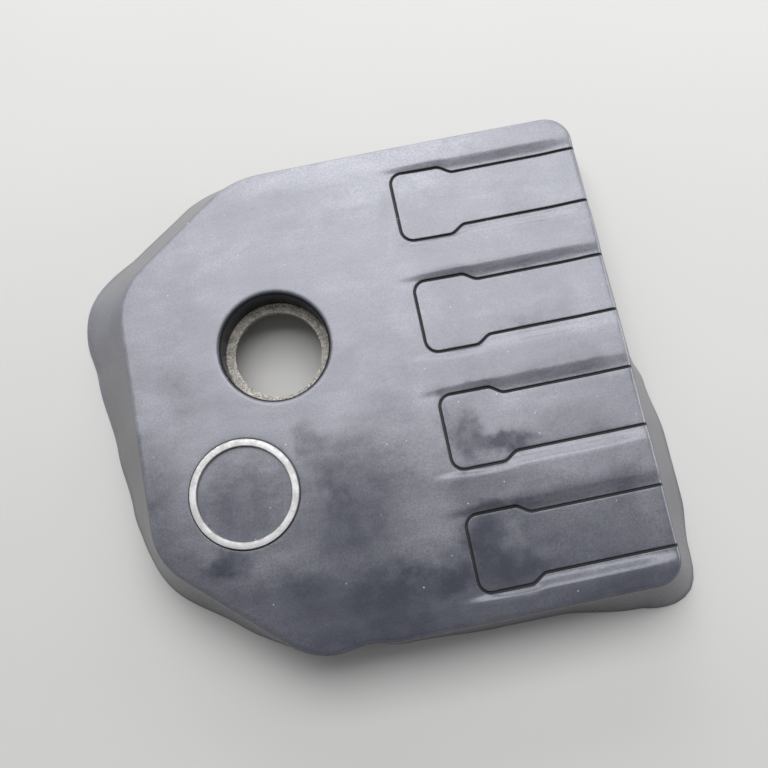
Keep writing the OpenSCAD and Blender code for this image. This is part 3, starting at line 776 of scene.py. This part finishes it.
# %% Rubbed and dusty places in millimetres: x, y, half length, half width, turn, weight
rubbed = [
    (40, -37, 9, 14, 0, 0.85), (58, -45, 18, 5, 0, 0.95), (80, 21, 22, 5, 0, 0.5),
    (-99, -80, 14, 6, 0, 0.85), (-58, -104, 10, 12, 0, 0.45), (-44, -24, 7, 12, 0, 0.6),
    (-102, 22, 12, 9, 0, 0.3), (-30, -58, 34, 30, 10, 0.55), (38, -99, 10, 19, 0, 0.85),
    (54, -112, 15, 6, 0, 0.6), (52, -77.5, 22, 2.5, 0, 0.6), (45, -62, 22, 6, 0, 0.4),
    (-12, -109, 26, 12, 0, 0.8), (17, -112, 10, 7, 0, 0.9), (-34, -52, 7, 14, 0, 0.5),
    (badge_x, badge_y, 23, 23, 0, 0.6), (110, -130, 24, 5, 0, 0.4), (-20, -130, 40, 8, 0, 0.6),
    (-128, -25, 10, 22, 0, 0.3), (30, -20, 3, 16, 0, 0.4)]
dusty = [
    (2, -88, 20, 18, 0, 0.5), (25, 116, 40, 10, 0, 0.35), (45, 110, 12, 6, 0, 0.3), (20, -14, 5, 15, 0, 0.3),
    (52, -95, 5, 8, 0, 0.5), (104, -92, 30, 9, 0, 0.35), (72, -28, 34, 10, 0, 0.35),
    (-62, -86, 14, 9, 0, 0.45), (-90, -86, 12, 8, 0, 0.4), (0, 130, 80, 8, 0, 0.5),
    (110, -112, 26, 14, 0, 0.3), (90, -62, 40, 7, 0, 0.3), (128, -70, 8, 60, 0, 0.3)]

# %% Finish of the moulded plastic
plastic = Finish("dusty_black_plastic")
drift = plastic.add("ShaderNodeTexNoise", {"Vector": plastic.mm, "Scale": 0.1, "Detail": 5.0})
drift = drift.outputs["Color"]
drift = plastic.out("ShaderNodeVectorMath", {0: drift, 1: (0.5, 0.5, 0.5)}, operation="SUBTRACT")
drift = plastic.out("ShaderNodeVectorMath", {0: drift, "Scale": 18.0}, operation="SCALE")
ragged = plastic.out("ShaderNodeVectorMath", {0: plastic.mm, 1: drift})
cloud = plastic.ramp(plastic.noise(0.028, 4.0, 0.55, twist=0.6), 0.3, 0.7)
wipes = plastic.noise(1.0, 4.0, 0.6, at=plastic.stretched(0.03, 0.11, 24))
dust_and_shade = plastic.plus(plastic.times(cloud, 0.16), plastic.times(wipes, 0.36))
dust_and_shade = plastic.plus(dust_and_shade, 0.11)
for x, y, rx, ry, turn, weight in dusty:
    more = plastic.times(plastic.patch(ragged, x, y, rx, ry, turn, 0.7), 0.36 * weight)
    dust_and_shade = plastic.plus(dust_and_shade, more)
mottle = plastic.ramp(plastic.noise(0.13, 5.0, 0.65), 0.35, 0.62, 0.66, 1.0)
for x, y, rx, ry, turn, weight in rubbed:
    less = plastic.times(plastic.patch(ragged, x, y, rx, ry, turn, 0.62), 0.95 * weight)
    dust_and_shade = plastic.faded(dust_and_shade, less, mottle)
# Darker towards the front: the pale layer is scaled from 0.3 of itself at the front to full strength behind
# the middle.
forward = plastic.split(ragged)["Y"]
dust_and_shade = plastic.times(dust_and_shade, plastic.ramp(forward, -125, 22, 0.3, 1.05))
# Painted shade inside the filler opening starts here: the pale layer is taken away within the collar.
collar_shade = plastic.patch(plastic.mm, filler_x, filler_y, filler_r + 1.4, filler_r + 1.4, soft=0.035)
dust_and_shade = plastic.faded(dust_and_shade, collar_shade, 0.97)
facing_up = plastic.upward()
settled = plastic.ramp(facing_up, 0.0, 0.95, 0.2, 1.0)
outside = plastic.attribute("outside")
dust_and_shade = plastic.times(plastic.calc("MAXIMUM", dust_and_shade, 0.03), settled)
dust_and_shade = plastic.times(dust_and_shade, plastic.ramp(outside, 0, 1, 0.12, 1.0), clamp=True)
fine = plastic.noise(0.9, 3.0, 0.7)
dust_and_shade = plastic.times(dust_and_shade, plastic.ramp(fine, 0.25, 0.75, 0.72, 1.28), clamp=True)

# %% Skirt tint with a painted reflection, painted shade in the grooves and the collar, and specks
# Faces that turn to the side take a warmer pale tone: dust, with a painted warm reflection on the skirts.
skirt_side = plastic.ramp(facing_up, 0.65, 0.45)
dust_and_reflection_colour = plastic.colour(skirt_side, (0.34, 0.345, 0.385, 1), (0.40, 0.375, 0.345, 1))
body = plastic.colour(dust_and_shade, (0.023, 0.025, 0.037, 1), dust_and_reflection_colour)
groove = plastic.attribute("groove")
# Painted shade: the groove floors are coloured nearly black, and made rougher, for the shade inside the
# narrow grooves.
in_groove = plastic.ramp(groove, 0.1, 0.5)
body = plastic.colour(in_groove, body, (0.006, 0.006, 0.007, 1))
# Painted shade: the inside of the collar is darkened nearly to black.
body = plastic.colour(plastic.times(collar_shade, 0.7), body, (0.008, 0.008, 0.01, 1))
from_speck, picked, tone = plastic.cells(0.28)
size = plastic.ramp(picked, 0.7, 1.0, 0.0, 0.1)
speck = plastic.times(plastic.calc("LESS_THAN", from_speck, size), plastic.ramp(facing_up, 0.5, 0.8))
speck_colour = plastic.colour(plastic.ramp(tone, 0.45, 0.55), (0.03, 0.03, 0.03, 1), (0.5, 0.49, 0.46, 1))
body = plastic.colour(plastic.times(speck, 0.8), body, speck_colour)

grain = plastic.bump(plastic.noise(1.6, 2.0, 0.6), 0.05, 0.6)
gloss = plastic.ramp(dust_and_shade, 0.0, 0.5, 0.27, 0.42)
gloss = plastic.plus(gloss, plastic.times(in_groove, 0.4), clamp=True)
shine = plastic.ramp(dust_and_shade, 0.0, 0.3, 0.4, 0.74)
shine = plastic.faded(shine, collar_shade, 0.8)
plastic.set(Base_Color=body, Roughness=gloss, IOR=1.52, Specular_IOR_Level=shine,
            Specular_Tint=(0.92, 0.93, 1.0, 1), Normal=grain)
moulding.data.materials.append(plastic.material)


# %% [markdown]
# A geometry tree is made once and run with its own numbers for each piece. Its inputs are found
# by their identifiers, because a label may repeat, and the result is turned into a plain mesh at
# once, so that nothing downstream depends on a live modifier.

# %% Helpers for geometry trees
INT, GEOMETRY = "NodeSocketInt", "NodeSocketGeometry"


def floats(*labels):
    return {label: "NodeSocketFloat" for label in labels}


class GeometryTree(Graph):
    def __init__(self, name, sockets):
        super().__init__(bpy.data.node_groups.new(name, "GeometryNodeTree"))
        for label, kind in {**sockets, "Finish": "NodeSocketMaterial"}.items():
            self.tree.interface.new_socket(label, in_out="INPUT", socket_type=kind)
        self.tree.interface.new_socket("Geometry", in_out="OUTPUT", socket_type=GEOMETRY)
        self.given = self.add("NodeGroupInput").outputs

    def pair(self, kind, socket, a, b, **settings):
        """A node that takes two meshes on one input, such as a union or a join."""
        node = self.add("GeometryNode" + kind, {socket: a}, **settings)
        self.tree.links.new(b, node.inputs[socket])
        return node.outputs[0]

    def united(self, a, b):
        return self.pair("MeshBoolean", 1, a, b, operation="UNION", solver="EXACT")

    def raised(self, mesh, rise):
        return self.geo("Transform", {0: mesh, "Translation": self.xyz(z=rise)})

    def finish(self, geometry):
        real = self.geo("RealizeInstances", {0: geometry})
        painted = self.geo("SetMaterial", {"Geometry": real, "Material": self.given["Finish"]})
        self.add("NodeGroupOutput", {0: painted})

    def run(self, mesh=None, **values):
        """The tree's result with these numbers, as a plain mesh."""
        holder = placed("holder", mesh or bpy.data.meshes.new(self.tree.name))
        modifier = holder.modifiers.new("tree", "NODES")
        modifier.node_group = self.tree
        for item in self.tree.interface.items_tree:
            key = item.name.lower().replace(" ", "_")
            if item.in_out == "INPUT" and key in values:
                modifier[item.identifier] = values[key]
        depsgraph = bpy.context.evaluated_depsgraph_get()
        made = bpy.data.meshes.new_from_object(holder.evaluated_get(depsgraph))
        bpy.data.objects.remove(holder)
        return made


# %% [markdown]
# The badge ring is a satin metallised band with softened edges, held by three pins whose ends
# are spread under the panel. A band follows a circle, so a profile is swept along a circular
# curve, and the pins sit on a three-point circle. Turning a profile on a lathe would give the same
# band, but a swept one keeps its width and its rounding as named inputs.

# %% Finish of the badge ring
satin = Finish("satin_silver")
from_badge = satin.out("ShaderNodeMapping", {"Vector": satin.mm, "Location": (-badge_x, -badge_y, 0)})
level = satin.out("ShaderNodeVectorMath", {0: from_badge, 1: (1, 1, 0)}, operation="MULTIPLY")
radius = satin.add("ShaderNodeVectorMath", {0: level}, operation="LENGTH").outputs["Value"]
turned = satin.add("ShaderNodeTexNoise", {"W": radius, "Scale": 3.2, "Detail": 3.0},
                   noise_dimensions="1D").outputs["Fac"]
grime = satin.ramp(satin.noise(0.16, 6.0, 0.75), 0.40, 0.62)
# Painted shade: the band is darkened towards its inner and outer edges, where it meets the panel, and this is
# mixed with the grime.
edge_shade = satin.ramp(satin.calc("ABSOLUTE", satin.minus(radius, badge_r - band_w / 2)), 1.15, 1.8)
dirt_and_edge_shade = satin.plus(satin.times(grime, 0.55), satin.times(edge_shade, 0.5), clamp=True)
metal = satin.colour(turned, (0.28, 0.28, 0.29, 1), (0.58, 0.58, 0.59, 1))
satin.set(Base_Color=satin.colour(dirt_and_edge_shade, metal, (0.26, 0.25, 0.24, 1)), Metallic=0.6,
          Roughness=satin.ramp(dirt_and_edge_shade, 0, 1, 0.4, 0.65), Normal=satin.bump(satin.noise(2.2, 2.0), 0.02, 0.5))

# %% Tree of the badge ring
ring_tree = GeometryTree("swept_ring", {
    **floats("Radius", "Band", "Height", "Top rounding", "Base rounding", "Pin radius", "Pin depth",
             "Head radius", "Head height"), "Pins": INT})
given = ring_tree.given
path = ring_tree.geo("CurvePrimitiveCircle", {"Resolution": 180, "Radius": given["Radius"]})
block = ring_tree.geo("CurvePrimitiveQuadrilateral", {"Width": given["Band"], "Height": given["Height"]})
corner_up = ring_tree.split(ring_tree.geo("InputPosition"))["Y"]
# The sweep turns the profile over, so its upper corners end at the band's base
at_base = ring_tree.out("FunctionNodeCompare", {0: corner_up, 1: 0.0}, operation="GREATER_THAN")
rounding = ring_tree.geo("Switch", {0: at_base, 1: given["Top rounding"], 2: given["Base rounding"]},
                         input_type="FLOAT")
profile = ring_tree.geo("FilletCurve", {"Curve": block, "Radius": rounding, "Count": 6}, mode="POLY")
band = ring_tree.geo("CurveToMesh", {"Curve": path, "Profile Curve": profile})
band = ring_tree.raised(band, ring_tree.times(given["Height"], 0.5))
spots = ring_tree.geo("MeshCircle", {"Vertices": given["Pins"], "Radius": given["Radius"]})
spots = ring_tree.geo("Transform", {0: spots, "Rotation": (0, 0, math.pi / 2)})
pin_long = ring_tree.plus(given["Pin depth"], ring_tree.times(given["Height"], 0.4))
pin = ring_tree.geo("MeshCylinder", {"Vertices": 24, "Radius": given["Pin radius"], "Depth": pin_long})
pin_lift = ring_tree.plus(ring_tree.times(given["Height"], 0.2), ring_tree.times(given["Pin depth"], -0.5))
pin = ring_tree.raised(pin, pin_lift)
head = ring_tree.geo("MeshUVSphere", {"Segments": 24, "Rings": 12, "Radius": given["Head radius"]})
flatten = ring_tree.times(ring_tree.calc("DIVIDE", given["Head height"], given["Head radius"]), 0.5)
head = ring_tree.geo("Transform", {0: head, "Scale": ring_tree.xyz(1.0, 1.0, flatten)})
head = ring_tree.raised(head, ring_tree.times(given["Pin depth"], -1.0))
stake = ring_tree.united(pin, head)
stakes = ring_tree.geo("InstanceOnPoints", {"Points": spots, "Instance": stake})
stakes = ring_tree.geo("RealizeInstances", {0: stakes})
ring_tree.finish(ring_tree.united(band, stakes))

# %% Make the badge ring
head_top = land_top - wall - 0.3
head_high = 1.2
ring_mesh = ring_tree.run(
    radius=(badge_r - band_w / 2) * MM, band=band_w * MM, height=band_h * MM,
    top_rounding=0.2 * MM, base_rounding=1.0 * MM, pins=3, pin_radius=badge_pin_r * MM,
    pin_depth=(land_top - recess_d - head_top + head_high / 2) * MM,
    head_radius=(badge_pin_r + 1.3) * MM, head_height=head_high * MM, finish=satin.material)
ring_mesh.transform(Matrix.Translation(to_frame([[badge_x, badge_y, land_top - recess_d]])[0]))
sharpen(ring_mesh)
piece_from_mesh("satin_ring", ring_mesh, "badge_ring")

# %% [markdown]
# Under the panel lies a moulded pad of open-cell foam, and its edge shows as a grey speckled ledge
# inside the filler opening. The pad's own solid already has its outline, holes and pockets, so a
# merged copy only gets its sharp edges softened. The ledge's coarse crumbs are real grains: they
# are scattered over a flat ring swept round the opening, with a fixed seed, because the crumbs
# stand up far enough to catch the light at their edges.

# %% Finish of the foam
foam = Finish("speckled_foam")
from_crumb, crumb_tone, _ = foam.cells(1.1)
cell_wall = foam.ramp(from_crumb, 0.15, 0.6)
soft_tone = foam.noise(0.12, 4.0, 0.6)
foam_body = foam.colour(crumb_tone, (0.20, 0.188, 0.172, 1), (0.78, 0.74, 0.685, 1))
foam_body = foam.colour(foam.times(cell_wall, 0.6), foam_body, (0.11, 0.102, 0.09, 1))
foam_body = foam.colour(foam.ramp(soft_tone, 0.35, 0.7, 0.0, 0.35), foam_body, (0.68, 0.645, 0.595, 1))
foam_relief = foam.plus(foam.times(foam.noise(1.3, 3.0, 0.6), 0.6), foam.times(cell_wall, -0.5))
foam.set(Base_Color=foam_body, Roughness=foam.ramp(crumb_tone, 0, 1, 0.85, 0.97), Specular_IOR_Level=0.3,
         Normal=foam.bump(foam_relief, 0.35, 0.8))

# %% Tree of the crumbs on the ledge
crumbs = GeometryTree("ledge_crumbs", {
    "Geometry": GEOMETRY, **floats("Inner radius", "Outer radius", "Along", "Across", "Up",
                                   "Per square metre", "Smallest", "Largest"), "Seed": INT})
given = crumbs.given
ledge_r = crumbs.times(crumbs.plus(given["Inner radius"], given["Outer radius"]), 0.5)
breadth = crumbs.minus(given["Outer radius"], given["Inner radius"])
start, end = (crumbs.xyz(crumbs.times(breadth, share)) for share in (-0.5, 0.5))
stroke = crumbs.geo("CurvePrimitiveLine", {"Start": start, "End": end})
loop = crumbs.geo("CurvePrimitiveCircle", {"Resolution": 96, "Radius": ledge_r})
ledge = crumbs.geo("CurveToMesh", {"Curve": loop, "Profile Curve": stroke})
offset = crumbs.xyz(given["Along"], given["Across"], given["Up"])
ledge = crumbs.geo("Transform", {0: ledge, "Translation": offset})
dots = crumbs.geo("DistributePointsOnFaces", {"Mesh": ledge, "Density": given["Per square metre"],
                                              "Seed": given["Seed"]})
smallest, largest = (crumbs.xyz(*[given[label]] * 3) for label in ("Smallest", "Largest"))
grain_size = crumbs.out("FunctionNodeRandomValue", {0: smallest, 1: largest, "Seed": given["Seed"]},
                        data_type="FLOAT_VECTOR")
grain_turn = crumbs.out("FunctionNodeRandomValue", {1: (6.28, 6.28, 6.28), "Seed": 5},
                        data_type="FLOAT_VECTOR")
grain_ball = crumbs.geo("MeshIcoSphere", {"Radius": 1.0, "Subdivisions": 1})
grains = crumbs.geo("InstanceOnPoints", {"Points": dots, "Instance": grain_ball, "Rotation": grain_turn,
                                         "Scale": grain_size})
crumbs.finish(crumbs.pair("JoinGeometry", 0, given["Geometry"], grains))

# %% Make the foam pad
pad = merged_copy("sound_absorber")
bmesh.ops.dissolve_limit(pad, angle_limit=math.radians(0.5), verts=pad.verts, edges=pad.edges)
hard = [e for e in pad.edges if e.is_manifold and abs(e.calc_face_angle(0)) > math.radians(50)]
bmesh.ops.bevel(pad, geom=hard, offset=0.5 * MM, segments=2, profile=0.6, affect="EDGES", clamp_overlap=True)
bmesh.ops.triangulate(pad, faces=[f for f in pad.faces if len(f.verts) > 4])
pad_mesh = bpy.data.meshes.new("pad")
pad.to_mesh(pad_mesh)
pad.free()
hole_along, hole_across = to_frame([[filler_x, filler_y, 0]])[0][:2]
pad_mesh = crumbs.run(
    pad_mesh, inner_radius=(foam_hole_r + 0.3) * MM, outer_radius=(filler_r + 0.2) * MM,
    along=hole_along, across=hole_across, up=(foam_top - 0.05) * MM, per_square_metre=1.5e6,
    smallest=0.16 * MM, largest=0.42 * MM, seed=11, finish=foam.material)
sharpen(pad_mesh)
piece_from_mesh("foam_pad", pad_mesh, "sound_absorber")

# %% [markdown]
# Four rubber sockets push onto the engine's ball studs. Each is turned from one profile, with the
# corners rounded as a rubber mould rounds them, and set where its stud is in the record. They
# could be copies of one object, but each is a piece of its own that can be pulled off.

# %% Finish of the rubber
rubber = Finish("moulded_rubber")
bloom = rubber.ramp(rubber.noise(0.25, 4.0, 0.6), 0.4, 0.75)
rubber.set(Base_Color=rubber.colour(bloom, (0.014, 0.014, 0.015, 1), (0.055, 0.055, 0.056, 1)),
           Roughness=rubber.ramp(bloom, 0, 1, 0.48, 0.7),
           Normal=rubber.bump(rubber.noise(1.8, 3.0, 0.6), 0.04, 0.6))

# %% Profile of a socket, radius and height in millimetres
socket_r, mouth_h, socket_long, dome_h, flange_t, play = 5.0, 1.2, 7.0, 2.2, 2.5, 0.3
body_r, rubber_lip_r, waist_r, head_rubber_r, head_h = socket_r + 4, 12.0, 8.6, 10.8, 5.0
rubber_lip = mouth_h + socket_long + play
head_low = rubber_lip + flange_t + play
dome_top = mouth_h + socket_long + dome_h
socket_profile = [
    (0, head_low + head_h, 0), (head_rubber_r - head_h / 2, head_low + head_h, 0.8),
    (head_rubber_r, head_low + head_h / 2, 0.8), (head_rubber_r, head_low, 0.4), (waist_r, head_low, 0.3),
    (waist_r, rubber_lip, 0.3), (rubber_lip_r, rubber_lip, 0.4), (rubber_lip_r, rubber_lip - 2, 0.5),
    (rubber_lip_r - 1, rubber_lip - 3, 0.5), (body_r, rubber_lip - 4, 0.4), (body_r, 0, 0.9),
    (socket_r + mouth_h, 0, 0.3), (socket_r, mouth_h, 0.3), (socket_r, mouth_h + socket_long, 0.4),
    (socket_r * 0.55, dome_top, 0.4), (0, dome_top, 0)]


def rounded(profile, steps=4):
    """The profile with each corner replaced by a short curve that starts and ends on its sides."""
    points = []
    for k, (r, z, soft) in enumerate(profile):
        here = np.array([r, z], float)
        if soft == 0:
            points.append(here)
            continue
        before, after = np.array(profile[k - 1][:2]) - here, np.array(profile[k + 1][:2]) - here
        a = here + before * min(soft / np.linalg.norm(before), 0.45)
        b = here + after * min(soft / np.linalg.norm(after), 0.45)
        for t in np.linspace(0, 1, steps + 1):
            points.append((1 - t) ** 2 * a + 2 * t * (1 - t) * here + t * t * b)
    return np.array(points)


def turned_mesh(name, profile, at, sides=72):
    """A closed mesh turned from a profile that starts and ends on the axis."""
    shape = bmesh.new()
    rings = []
    for r, z in rounded(profile):
        turns = np.linspace(0, 2 * math.pi, sides, endpoint=False) if r > 1e-6 else [0.0]
        places = [(at[0] + r * MM * math.cos(a), at[1] + r * MM * math.sin(a), at[2] + z * MM) for a in turns]
        rings.append([shape.verts.new(place) for place in places])
    for upper, lower in zip(rings, rings[1:]):
        for k in range(sides):
            quad = [upper[k % len(upper)], lower[k % len(lower)],
                    lower[(k + 1) % len(lower)], upper[(k + 1) % len(upper)]]
            shape.faces.new(list(dict.fromkeys(quad)))
    bmesh.ops.recalc_face_normals(shape, faces=shape.faces)
    mesh = bpy.data.meshes.new(name)
    shape.to_mesh(mesh)
    shape.free()
    sharpen(mesh)
    return mesh


# %% Make the four sockets
stud_middle = mouth_h + socket_long / 2
for place_name in ("front_left", "front_right", "rear_left", "rear_right"):
    x, y, z = mount_at["stud_" + place_name]
    mesh = turned_mesh("socket_" + place_name, socket_profile, (x, y, z - stud_middle * MM))
    piece_from_mesh("rubber_socket_" + place_name, mesh, "grommet_" + place_name,
                    rubber.material)

# %% [markdown]
# The pad hangs on six pins, each with a sprung push-on washer whose tongues bite into the pin. A
# washer is a flat strip of small faces first: some are left out for the slots, the rest are bent
# round into a dished ring and given their thickness. One tree does it for all six, and another
# pin would only need its place.

# %% Finish of the washers
steel = Finish("zinc_plated_steel")
_, spangle_tone, _ = steel.cells(0.5)
tarnish = steel.ramp(steel.noise(0.3, 4.0, 0.6), 0.45, 0.75)
steel_body = steel.colour(spangle_tone, (0.46, 0.46, 0.47, 1), (0.58, 0.58, 0.58, 1))
steel.set(Base_Color=steel.colour(tarnish, steel_body, (0.30, 0.28, 0.25, 1)), Metallic=1.0,
          Roughness=steel.ramp(tarnish, 0, 1, 0.32, 0.55),
          Normal=steel.bump(steel.noise(1.2, 3.0), 0.02, 0.4))

# %% Tree of a spring washer
washer = GeometryTree("spring_washer", {
    **floats("Grip radius", "Flat radius", "Outer radius", "Dish", "Thickness", "Slot share"),
    "Tongues": INT})
given = washer.given
strip = washer.geo("MeshGrid", {"Size X": 1.0, "Size Y": 1.0, "Vertices X": 97, "Vertices Y": 11})
cell = washer.split(washer.geo("InputPosition"))
turn_share, out_share = washer.plus(cell["X"], 0.5), washer.plus(cell["Y"], 0.5)
in_slot = washer.calc("FRACT", washer.times(turn_share, given["Tongues"]))
in_slot = washer.calc("LESS_THAN", in_slot, given["Slot share"])
near_pin = washer.calc("LESS_THAN", out_share, 0.45)
strip = washer.geo("DeleteGeometry", {0: strip, "Selection": washer.times(in_slot, near_pin)}, domain="FACE")
spread = washer.minus(given["Outer radius"], given["Grip radius"])
radius_at = washer.plus(given["Grip radius"], washer.times(out_share, spread))
angle_at = washer.times(turn_share, 2 * math.pi)
slope_run = washer.minus(given["Flat radius"], given["Grip radius"])
rise_share = washer.calc("DIVIDE", washer.minus(radius_at, given["Grip radius"]), slope_run, clamp=True)
dip = washer.times(washer.minus(rise_share, 1.0), given["Dish"])
across, along = (washer.times(radius_at, washer.calc(wave, angle_at)) for wave in ("COSINE", "SINE"))
disc = washer.geo("SetPosition", {"Geometry": strip, "Position": washer.xyz(across, along, dip)})
disc = washer.geo("MergeByDistance", {0: disc, "Distance": 1e-6})
down = washer.xyz(z=washer.times(given["Thickness"], -1.0))
thick = washer.geo("ExtrudeMesh", {"Mesh": disc, "Offset": down, "Offset Scale": 1.0, "Individual": False})
closed = washer.pair("JoinGeometry", 0, thick, disc)
washer.finish(washer.geo("MergeByDistance", {0: closed, "Distance": 1e-6}))

# %% Make the six washers
retainer_r, foam_pin_r = 9.0, 2.0
for number in range(1, 7):
    node = f"foam_retainer_{number}"
    low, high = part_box(node)
    mesh = washer.run(
        grip_radius=(foam_pin_r + 0.1) * MM, flat_radius=0.55 * retainer_r * MM, outer_radius=retainer_r * MM,
        dish=1.2 * MM, thickness=0.8 * MM, tongues=6, slot_share=0.13, finish=steel.material)
    place = ((low[0] + high[0]) / 2, (low[1] + high[1]) / 2, high[2])
    shape = bmesh.new()
    shape.from_mesh(mesh)
    bmesh.ops.recalc_face_normals(shape, faces=shape.faces)
    bmesh.ops.translate(shape, verts=shape.verts, vec=place)
    shape.to_mesh(mesh)
    shape.free()
    sharpen(mesh, 30)
    piece_from_mesh(f"spring_washer_{number}", mesh, node)

# %% [markdown]
# The stage is a plain pale floor. The light is one large soft box that leans in from the rear, so
# its reflection fills the rear of the panel and fades towards the front, and that fade is what
# shows the crown. A lamp straight above would light the cover as well, but it would flatten it. A
# low box behind lights the walls and lips that face it, and a low one on the right lifts that skirt.
# The world is a faint fill that only the camera and mirror rays see as white.

# %% Floor
floor_finish = Finish("pale_floor")
floor_tone = floor_finish.noise(0.004, 3.0)
floor_colour = floor_finish.colour(floor_tone, (0.43, 0.427, 0.424, 1), (0.465, 0.462, 0.459, 1))
floor_finish.set(Base_Color=floor_colour, Roughness=0.75, Specular_IOR_Level=0.3)
bpy.ops.mesh.primitive_plane_add(size=8, location=(0, 0, -0.0002))
floor = bpy.context.object
floor.name = "floor"
floor.data.materials.append(floor_finish.material)


# %% Soft light
def soft_box(name, centre, aim, width, height, radiance):
    """An area lamp that faces its aim, with its power worked out from how bright it should look."""
    lamp = bpy.data.lights.new(name, "AREA")
    lamp.shape, lamp.size, lamp.size_y = "RECTANGLE", width, height
    lamp.energy = math.pi * width * height * radiance
    holder = placed(name, lamp)
    holder.location = centre
    holder.rotation_euler = (Vector(aim) - Vector(centre)).to_track_quat("-Z", "Y").to_euler()


lean, away, cover_middle = math.radians(26), 1.7, (0, 0, 0.04)
rear_at = (0.1, away * math.sin(lean), cover_middle[2] + away * math.cos(lean))
soft_box("rear_soft_box", rear_at, cover_middle, 1.7, 1.1, 6.5)
soft_box("low_soft_box", (0.1, 1.85, 0.72), cover_middle, 2.0, 0.75, 5.5)
soft_box("right_soft_box", (1.3, 0.1, 0.28), (0.1, 0, 0.02), 0.7, 0.35, 8.0)

# %% World
world = bpy.data.worlds.new("studio")
scene.world = world
world.use_nodes = True
world.node_tree.nodes.clear()
sky = Graph(world.node_tree)
rays = sky.add("ShaderNodeLightPath").outputs
seen = sky.calc("MAXIMUM", rays["Is Camera Ray"], rays["Is Transmission Ray"])
seen = sky.calc("MAXIMUM", seen, rays["Is Glossy Ray"])
fill_level, ceiling_level = 0.36, 0.2
height = sky.split(sky.add("ShaderNodeTexCoord").outputs["Generated"])["Z"]
bright = sky.out("ShaderNodeMapRange", {"Value": height, "From Min": 0.4, "From Max": 0.8, "To Min": 1.0,
                                        "To Max": ceiling_level})
strength = sky.out("ShaderNodeMapRange", {"Value": seen, "To Min": fill_level, "To Max": bright})
glow = sky.out("ShaderNodeBackground", {"Color": (1, 1, 1, 1), "Strength": strength})
sky.add("ShaderNodeOutputWorld", {"Surface": glow})

# %% [markdown]
# The camera was found by fitting the drawing's grooves, rims and outline to the photograph: it
# hangs over the front of the cover and looks almost straight down, turned a little to the left.
# Guessing it from a known lens would be quicker, but then nothing would lie on its own pixel.

# %% Camera
focal_px, frame_px, sensor_mm = 899.945, 768, 36.0
camera_at, camera_aim, camera_roll = (-5.16, -96.04, 525.26), (6.49, -1.51, 40.0), -4.653
camera = placed("camera", bpy.data.cameras.new("camera"))
camera.data.sensor_width = sensor_mm
camera.data.lens = focal_px * sensor_mm / frame_px
camera.location = Vector(camera_at) * MM
look = (Vector(camera_aim) - Vector(camera_at)).to_track_quat("-Z", "Y")
camera.rotation_euler = (look @ Quaternion((0, 0, 1), math.radians(camera_roll))).to_euler()
scene.camera = camera
scene.view_settings.view_transform = "Standard"
